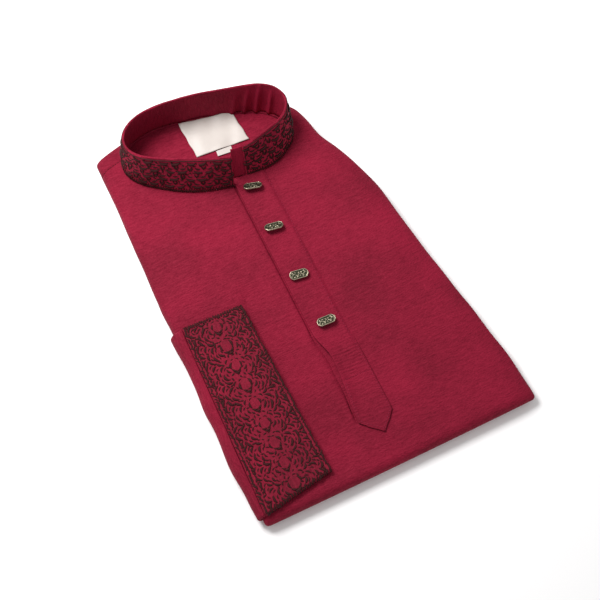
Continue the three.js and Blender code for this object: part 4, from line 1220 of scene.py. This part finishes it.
# The collar's embroidery: rows of paired scrolls, a roped edge at the seam and a thin cord under the rim
collarWork = {
    "tall": 36.0, "pitch": 12.2, "rowPitch": 8.4, "firstRow": 8.4, "rows": 4, "endGap": 2, "ropeGap": 1.5,
    "lowest": 4.0, "highest": 33.4, "leafGap": 3.0,
    "ropePitch": 1.75, "innerRopePitch": 2.3, "endRopePitch": 1.9,
    "cordHeight": 0.962, "cordOut": 0.2, "cordRadius": 0.5, "rollRadius": 1.0, "rollDrop": 0.4,
}
leafTurns, leafSizes = (0, 180), (0.44, 0.62)   # of the small leaves that fill gaps
scrollPair = [
    (-1.0, -1.8, 8, 0.96, "curlRight"), (-0.4, 1.6, 14, 0.7, "leafRight"), (5.4, 1.0, 112, 0.8, "leafLeft"),
    (-5.4, 2.2, 58, 0.66, "leafRight"), (2.8, 4.4, 24, 0.56, "leafRight"),
]
collarAngles = np.linspace(collarEnds["left"], collarEnds["right"], 600)
collarRun = np.linalg.norm(np.diff(collarPoint(collarAngles, 0.5, 0), axis=0), axis=1)
collarRun = np.concatenate([[0], collarRun.cumsum()])
collarLength = collarRun[-1]


def collarFace(a, b, out):
    return collarPoint(np.interp(a, collarRun, collarAngles), b / collarWork["tall"], out)


def collarLayout():
    work, layout = collarWork, []
    length = collarLength - 2 * work["endGap"]
    count = round(length / work["pitch"])
    for row in range(work["rows"]):
        b = work["firstRow"] + row * work["rowPitch"]
        for k in range(count + row % 2):
            a = work["endGap"] + (k + (0 if row % 2 else 0.5)) * length / count
            layout += placed(scrollPair, a, b, flip=(k + row) % 2 == 1)
    low, high, side = work["lowest"], work["highest"], work["ropeGap"]
    layout = [m for m in layout if side < m[0] < collarLength - side and low < m[1] < high]
    ranges = ((2, collarLength - 2), (5, 33), leafTurns, leafSizes)
    layout = fillGaps(layout, ranges, work["leafGap"], 17)
    layout += [(a, side, 62, 0.95, "rope") for a in np.arange(1.0, collarLength - 0.5, work["ropePitch"])]
    layout += [(a, low, 112, 0.62, "rope") for a in np.arange(1.6, collarLength - 1, work["innerRopePitch"])]
    for b in np.arange(5, 33, work["endRopePitch"]):
        layout += [(side, b, 78, 0.6, "rope"), (collarLength - side, b, 102, 0.6, "rope")]
    return layout


def makeTube(name, path, radius, material, sides=10):
    tangent = unit(np.gradient(path, axis=0))
    side = unit(np.cross(tangent, [0, 0, 1]))
    over = np.cross(side, tangent)
    angle = np.linspace(0, 2 * math.pi, sides + 1)[:-1, None]
    rings = path[:, None] + radius * (side[:, None] * np.cos(angle) + over[:, None] * np.sin(angle))
    piece = closedLoft(name, rings, material)
    giveAttribute(piece.data, "thread", "FLOAT_VECTOR", weaveValues(piece))
    return piece


rimAngles = np.linspace(collarEnds["left"] - 0.3, collarEnds["right"] + 0.3, 460)
rimMiddle = (innerFace - collar["bandWall"]) / 2
rollWave = 0.12 * np.sin(rimAngles / 6) + 0.1 * np.sin(rimAngles / 2.3 + 1)
collarRoll = makeTube(
    "collar_piping", collarPoint(rimAngles, 1, rimMiddle) + xyz(0, 0, rollWave - collarWork["rollDrop"]),
    collarWork["rollRadius"], crimson)
collarCord = makeTube(
    "collar_cord", collarPoint(rimAngles, collarWork["cordHeight"], collarWork["cordOut"]),
    collarWork["cordRadius"], darkThread, 8)
collarStitching = layThreads(
    "collar_embroidery", marksOn(collarFace, collarLayout()), darkThread, 3, 0.22, 0.14)
print("collar embroidered")

# The cuff's embroidery: open rosettes with leaf sprays each side, and close borders on the long edges
cuffWork = {
    "rosettePitch": 18.6, "firstRosette": 10.0, "rosettes": 9, "edge": 28.6, "wide": 59.7, "long": 169.0,
    "rosetteSizes": (0.92, 1.08), "rosetteTurns": (-16, 16), "clearRound": 4.4,
    "nestedSize": 0.98, "strayPlace": 0.6, "strayTurn": 14,
    "leafGap": 2.8, "borderPitch": 2.9, "borderLean": 18, "endPitch": 2.3,
}
rosette = [
    (4.5, 0.2, 98, 0.8, "leafLeft"), (2.4, 5.2, 156, 0.42, "leafLeft"), (2.4, -4.6, 28, 0.66, "leafLeft"),
    (7.9, -4.2, 58, 0.74, "leafLeft"), (7.8, 4.6, 124, 0.6, "leafLeft"),
]
rosette += placed(rosette, 0, 0, flip=True) + [(0, -6.6, 0, 0.86, "leafLeft"), (0.4, -8.9, 4, 0.5, "leaf")]
# Two crescents, one inside the other
nested = [(0, -1.0, 0, 0.84, "leafLeft"), (0.6, 1.9, 10, 0.5, "leafLeft")]
# Their places from the rosette, and turns
spray = [
    (12.2, -6.6, 62), (12.6, 0.4, 124), (12.0, 7.2, 40), (18.0, -3.4, 84), (18.2, 3.8, 140), (18.0, 10.2, 56),
    (23.4, -6.8, 112), (23.6, 0.0, 52), (23.2, 6.6, 128),
]


def cuffFace(a, b, out):
    a, b = np.broadcast_arrays(np.asarray(a, float), b)
    half = cuff["wall"] + cuff["hollow"] / 2
    long = cuffWork["long"]
    past = np.maximum(half - b, 0) - np.maximum(b - (long - half), 0)
    bent = np.clip(np.abs(past) / half, 0, math.pi)
    along = np.clip((b - half) / (long - 2 * half), 0, 1)
    across, swing = 0.5 + a / cuffWork["wide"], -np.sin(bent) * np.sign(past)
    return cuffPoint(across, along, (1 + np.cos(bent)) / 2, swing, out)


def cuffLayout():
    work, layout = cuffWork, []
    long, edge = work["long"], work["edge"]
    uneven = np.random.default_rng(11)
    for k in range(-1, work["rosettes"] + 1):
        b = work["firstRosette"] + k * work["rosettePitch"]
        if 0 <= k < work["rosettes"]:
            size, turn = uneven.uniform(*work["rosetteSizes"]), uneven.uniform(*work["rosetteTurns"])
            layout += placed(rosette, 0, b, size=size, turned=turn)
        for flip in (False, True):
            for x, y, turn in spray:
                strayX, strayY, strayTurn = uneven.uniform(-1, 1, 3)
                a = (-1 if flip else 1) * (x + work["strayPlace"] * strayX)
                layout += placed(nested, a, b + y + work["strayPlace"] * strayY, flip=flip,
                                 size=work["nestedSize"], turned=turn + work["strayTurn"] * strayTurn)
    layout = [m for m in layout if 1 < m[1] < long - 1 and abs(m[0]) < edge - 2.6]
    centres = [(0, work["firstRosette"] + k * work["rosettePitch"], work["clearRound"])
               for k in range(work["rosettes"])]
    ranges = ((-25.5, 25.5), (2, long - 2), leafTurns, leafSizes)
    layout = fillGaps(layout, ranges, work["leafGap"], 21, centres)
    for b in np.arange(-2.0, long + 2.0, work["borderPitch"]):
        for side in (-1, 1):
            turn = 90 - side * work["borderLean"] + uneven.uniform(-34, 34)
            outer = side * (edge + uneven.uniform(-0.4, 0.5))
            layout.append((outer, b, turn, uneven.uniform(0.5, 0.78), "leafLeft"))
            inner = side * (edge - 2.4 + uneven.uniform(-0.8, 0.4))
            layout.append((inner, b + 1.4, 180 - turn, uneven.uniform(0.4, 0.66), "leaf"))
    for a in np.arange(-27, 27.5, work["endPitch"]):
        tips = uneven.uniform(-0.8, 0.8, 4)
        layout += [(a, 1.0 + tips[0], 70 + 20 * tips[1], 0.7, "leaf"), (a, -1.9, 100, 0.6, "leaf"),
                   (a + 1, long - 1.2 + tips[2], 100 + 20 * tips[3], 0.7, "leaf")]
    return layout


cuffStitching = layThreads("cuff_embroidery", marksOn(cuffFace, cuffLayout()), darkThread, 5, 0.2, 0.14)
print("cuff embroidered")


# Plain stitches along lines: marks at an even pitch, each lying along its line
def lineMarks(points, normals, pitch, size=1.0):
    run = np.concatenate([[0], np.linalg.norm(np.diff(points, axis=0), axis=1).cumsum()])
    at = np.arange(pitch / 2, run[-1], pitch)
    place, lie = (xyz(*(np.interp(at, run, values[:, k]) for k in range(3))) for values in (points, normals))
    direction = unit(np.gradient(place, axis=0))
    number = np.full(len(at), shapeNumber["stitch"])
    return np.column_stack([place, unit(lie), direction, np.full(len(at), size), number])


def lineOn(height, corners, pitch, size=1.0, lift=0.05):
    corners = np.array(corners, float)
    run = np.concatenate([[0], np.linalg.norm(np.diff(corners, axis=0), axis=1).cumsum()])
    at = np.linspace(0, run[-1], max(4, round(run[-1] / 1.5)))
    x, y = np.interp(at, run, corners[:, 0]), np.interp(at, run, corners[:, 1])
    points = np.stack([x, y, height(x, y) + lift], -1)
    return lineMarks(points, np.tile([0.0, 0, 1], (len(x), 1)), pitch, size)


def acrossPlacket(x, y):
    edges = []
    for side in ("Left", "Right"):
        low, middle, high = placketPoint["low" + side], placketBody["low" + side], placketBody["high" + side]
        corners = np.array([low, middle, high])
        edges.append(np.interp(y, corners[:, 1], corners[:, 0]))
    left, right = edges[0] + edgeBow(y), edges[1]
    return np.clip((x - left) / (right - left), 0, 1)


def onPlacket(x, y):
    return placketTop(x, y, acrossPlacket(x, y))


seamPoints, seamNormals, seamPart = body["seamLine"]
onTop = (seamPart == 3) | (seamPart == 2)
leftOfNeck = onTop & (seamPoints[:, 0] < -84)
rightOfNeck = onTop & (seamPoints[:, 0] > 44)
redSewing = {
    "edge": [(13.2, 288), (14.6, 240), (12.6, 206), (12.4, 173), (12.0, 152), (14.4, 120), (15.4, 86)],
    "panel": [(15.8, 83), (15.8, 46.2), (3.2, 32.8), (-12.4, 47.4), (-10.4, 65), (-8.2, 83)],
    "cross": [(-8.0, 84.6), (15.6, 83.6)],
}
redMarks = np.concatenate([
    lineOn(onPlacket, redSewing[line], pitch, size)
    for line, pitch, size in (("edge", 2.9, 0.9), ("panel", 2.7, 0.9), ("cross", 2.6, 0.8))])
redStitches = layThreads("placket_stitches", redMarks, redThread, 2, 0.05, 0.08)
seamMarks = np.concatenate([
    lineMarks(seamPoints[chosen] + seamNormals[chosen] * 0.02, seamNormals[chosen], 2.7)
    for chosen in (leftOfNeck, rightOfNeck)])
seamStitches = layThreads("shoulder_stitches", seamMarks, darkThread, 4, 0.06, 0.1)
print("stitches sewn")

# Buttons: cast plates with cut corners, a raised rim and a low vine in the recess, each on a short shank
button = {
    "length": 16.8, "width": 8.2, "chamfer": 2.4, "edge": 0.5, "plate": 1.3, "rim": 0.7, "rimWidth": 0.8,
    "shankRadius": 2.2, "shank": 1.6, "scroll": 0.42, "around": 72, "floorRings": 17,
}
# Across and up the front in mm, then turn and tilt in degrees
buttonPlaces = [(-3.4, 277, -16, -30), (-3.0, 234, -10, -22), (-2.4, 185.6, -9, 4), (0.6, 137.4, -3, -8)]


def buttonRing(inset, z, scale=1.0):
    angle = np.linspace(0, 2 * math.pi, button["around"] + 1)[:-1] + 1e-4
    cos, sin = np.abs(np.cos(angle)), np.abs(np.sin(angle))
    halfLong, halfWide = button["length"] / 2 - inset, button["width"] / 2 - inset
    cut = halfLong + halfWide - button["chamfer"] + 0.4 * inset
    radius = np.minimum(np.minimum(halfLong / cos, halfWide / sin), cut / (cos + sin)) * scale
    return xyz(radius * np.cos(angle), radius * np.sin(angle), z)


# The relief, in mm and as shares of its height: a winding stem, leaves on both sides and small beads
vine = {
    "stem": 0.9, "stemWidth": 0.34, "swing": 1.25,
    "leaves": 11, "firstLeaf": -6.6, "leafPitch": 1.32, "leafOut": 1.7,
    "leafLong": 0.85, "leafWide": 0.36, "leans": (0.8, -0.7), "bead": 0.8, "beadRadius": 0.3,
}


def reliefHeight(x, y):
    height = vine["stem"] * np.exp(-((y - np.sin(vine["swing"] * x + 0.4)) / vine["stemWidth"]) ** 2)
    for k in range(vine["leaves"]):
        cx = vine["firstLeaf"] + vine["leafPitch"] * k
        cy = (1 if k % 2 else -1) * vine["leafOut"] + 0.25 * math.sin(2.3 * k)
        lean = vine["leans"][0 if k % 3 else 1]
        along = (x - cx) * math.cos(lean) + (y - cy) * math.sin(lean)
        across = (y - cy) * math.cos(lean) - (x - cx) * math.sin(lean)
        leaf = np.exp(-(along / vine["leafLong"]) ** 4 - (across / vine["leafWide"]) ** 2)
        fromBead = np.hypot(x - cx - 0.5, y + cy * 1.35)
        bead = vine["bead"] * np.exp(-(fromBead / vine["beadRadius"]) ** 2)
        height = np.maximum(height, np.maximum(leaf, bead))
    return height


def makeButton(number, x, y, turn, tilt):
    shank, edge, inside = button["shank"], button["edge"], button["rimWidth"]
    top = shank + button["plate"]
    high = top + button["rim"]
    # From the underside out and over the rim: how far in from the edge, how high, and how far rubbed bright
    profile = [
        (edge, shank, 0.3), (0, shank + edge, 0.7), (0, high - 0.35, 0.9),
        (0.14, high - 0.1, 1.0), (0.38, high, 1.0), (inside - 0.3, high, 1.0),
        (inside - 0.08, high - 0.1, 0.8), (inside, high - 0.3, 0.4),
    ]
    rings = [buttonRing(inset, z) for inset, z, _ in profile]
    levels = [np.full(button["around"], bright) for _, _, bright in profile]
    for scale in np.linspace(1, 0.05, button["floorRings"]):
        ring = buttonRing(inside + 0.12, top, scale)
        scroll = reliefHeight(ring[:, 0], ring[:, 1]) * (scale < 0.999)
        ring[:, 2] += scroll * button["scroll"]
        rings.append(ring)
        levels.append(scroll)
    angle, radius = np.linspace(0, 2 * math.pi, button["around"] + 1)[:-1], button["shankRadius"]
    post = [xyz(radius * np.cos(angle), radius * np.sin(angle), z) for z in (0.0, shank + 0.2)]
    lift = button["width"] / 2 * abs(math.sin(math.radians(tilt))) * 0.5
    height = float(placketUnder(x, y)) + placket["wall"] + seamGap + lift
    parts = []
    for name, loops, bright in (("plate", rings, levels), ("post", post, np.zeros((2, button["around"])))):
        loops = np.array(loops) @ turnMatrix(turn, tilt).T + [x, y, height]
        bright = np.repeat(np.array(bright)[..., None], 3, -1)
        part = closedLoft(f"{name}_{number}", loops, buttonBrass, bright)
        giveAttribute(part.data, "raised", "FLOAT", weaveValues(part)[::3])
        part.data.attributes.remove(part.data.attributes["weave"])
        parts.append(part)
    return joinPieces(f"button_cast_{number}", parts)


def turnMatrix(turn, tilt):
    turn, tilt = math.radians(turn), math.radians(tilt)
    about = np.array([[math.cos(turn), -math.sin(turn), 0], [math.sin(turn), math.cos(turn), 0], [0, 0, 1]])
    over = np.array([[1, 0, 0], [0, math.cos(tilt), -math.sin(tilt)], [0, math.sin(tilt), math.cos(tilt)]])
    return about @ over


buttonPieces = [makeButton(k + 1, *place) for k, place in enumerate(buttonPlaces)]
for shape in list(shapeBox.objects):
    bpy.data.objects.remove(shape)
bpy.data.collections.remove(shapeBox)
print("buttons made")

# Floor, light and camera
studio = {
    "lens": 78.0, "cameraPlace": (-175.127, -172.228, 1085.674),
    "cameraAim": (0.14539809, 0.29925376, -0.94303053),
    "floorColour": "#fbfafa", "worldColour": "#ffffff", "worldStrength": 0.46,
    "lights": {"key": ((-240, 620, 760), 0.42, 9.7), "fill": ((500, -200, 900), 1.0, 1.0)},
}


def makeStudio():
    bpy.ops.mesh.primitive_plane_add(size=8)
    floor = bpy.context.object
    floor.name = "floor"
    floor.location.z = -0.0002
    paper, tree, shader = newMaterial("white seamless paper", 0.9)
    shader.inputs["Base Color"].default_value = colour(studio["floorColour"])
    floor.data.materials.append(paper)
    world = bpy.context.scene.world or bpy.data.worlds.new("studio")
    bpy.context.scene.world = world
    world.use_nodes = True
    back = world.node_tree.nodes["Background"]
    back.inputs["Color"].default_value = colour(studio["worldColour"])
    back.inputs["Strength"].default_value = studio["worldStrength"]
    aim = Vector(toFrame((0, 180, 15)))
    for name, (place, size, power) in studio["lights"].items():
        lamp = bpy.data.lights.new(name, "AREA")
        lamp.shape = "DISK"
        lamp.size = size
        lamp.energy = power
        light = bpy.data.objects.new(name, lamp)
        light.location = toFrame(place)
        light.rotation_euler = (aim - light.location).to_track_quat("-Z", "Y").to_euler()
        bpy.context.scene.collection.objects.link(light)
    camera = bpy.data.objects.new("camera", bpy.data.cameras.new("camera"))
    camera.data.lens = studio["lens"]
    camera.data.sensor_width = 36
    camera.data.clip_start = 0.01
    camera.location = toFrame(studio["cameraPlace"])
    camera.rotation_euler = Vector(studio["cameraAim"]).to_track_quat("-Z", "Y").to_euler()
    bpy.context.scene.collection.objects.link(camera)
    bpy.context.scene.camera = camera
    bpy.context.scene.view_settings.view_transform = "Standard"
    bpy.context.scene.view_settings.look = "None"


makeStudio()

# Every piece rides on the one body; those that stand for a solid replace it.
for piece, slot, replaced in (
    (frontCloth, "kurta_cloth", "front_panel"), (backCloth, "kurta_cloth", "back_panel"),
    (neckFloorCloth, "kurta_cloth", None), (hiddenLayers, "kurta_cloth", "folded_layers"),
    (sleeveCloth, "kurta_cloth", "sleeve"), (cuffCloth, "embroidered_cloth", "cuff_band"),
    (cuffStitching, "embroidered_cloth", None), (collarOuterCloth, "embroidered_cloth", "collar_outer"),
    (collarStitching, "embroidered_cloth", None), (collarCord, "embroidered_cloth", None),
    (collarRoll, "kurta_cloth", None), (collarInnerCloth, "kurta_cloth", "collar_inner"),
    (placketCloth, "kurta_cloth", "placket"), (redStitches, "kurta_cloth", None),
    (seamStitches, "kurta_cloth", None), (labelSheet, "label_satin", "neck_label"),
    (tabSheet, "label_satin", "size_tab"),
    *((piece, "button_metal", f"button_{k + 1}") for k, piece in enumerate(buttonPieces)),
):
    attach(piece, "root")
    if replaced:
        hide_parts(replaced)

print("pieces ride on the body")
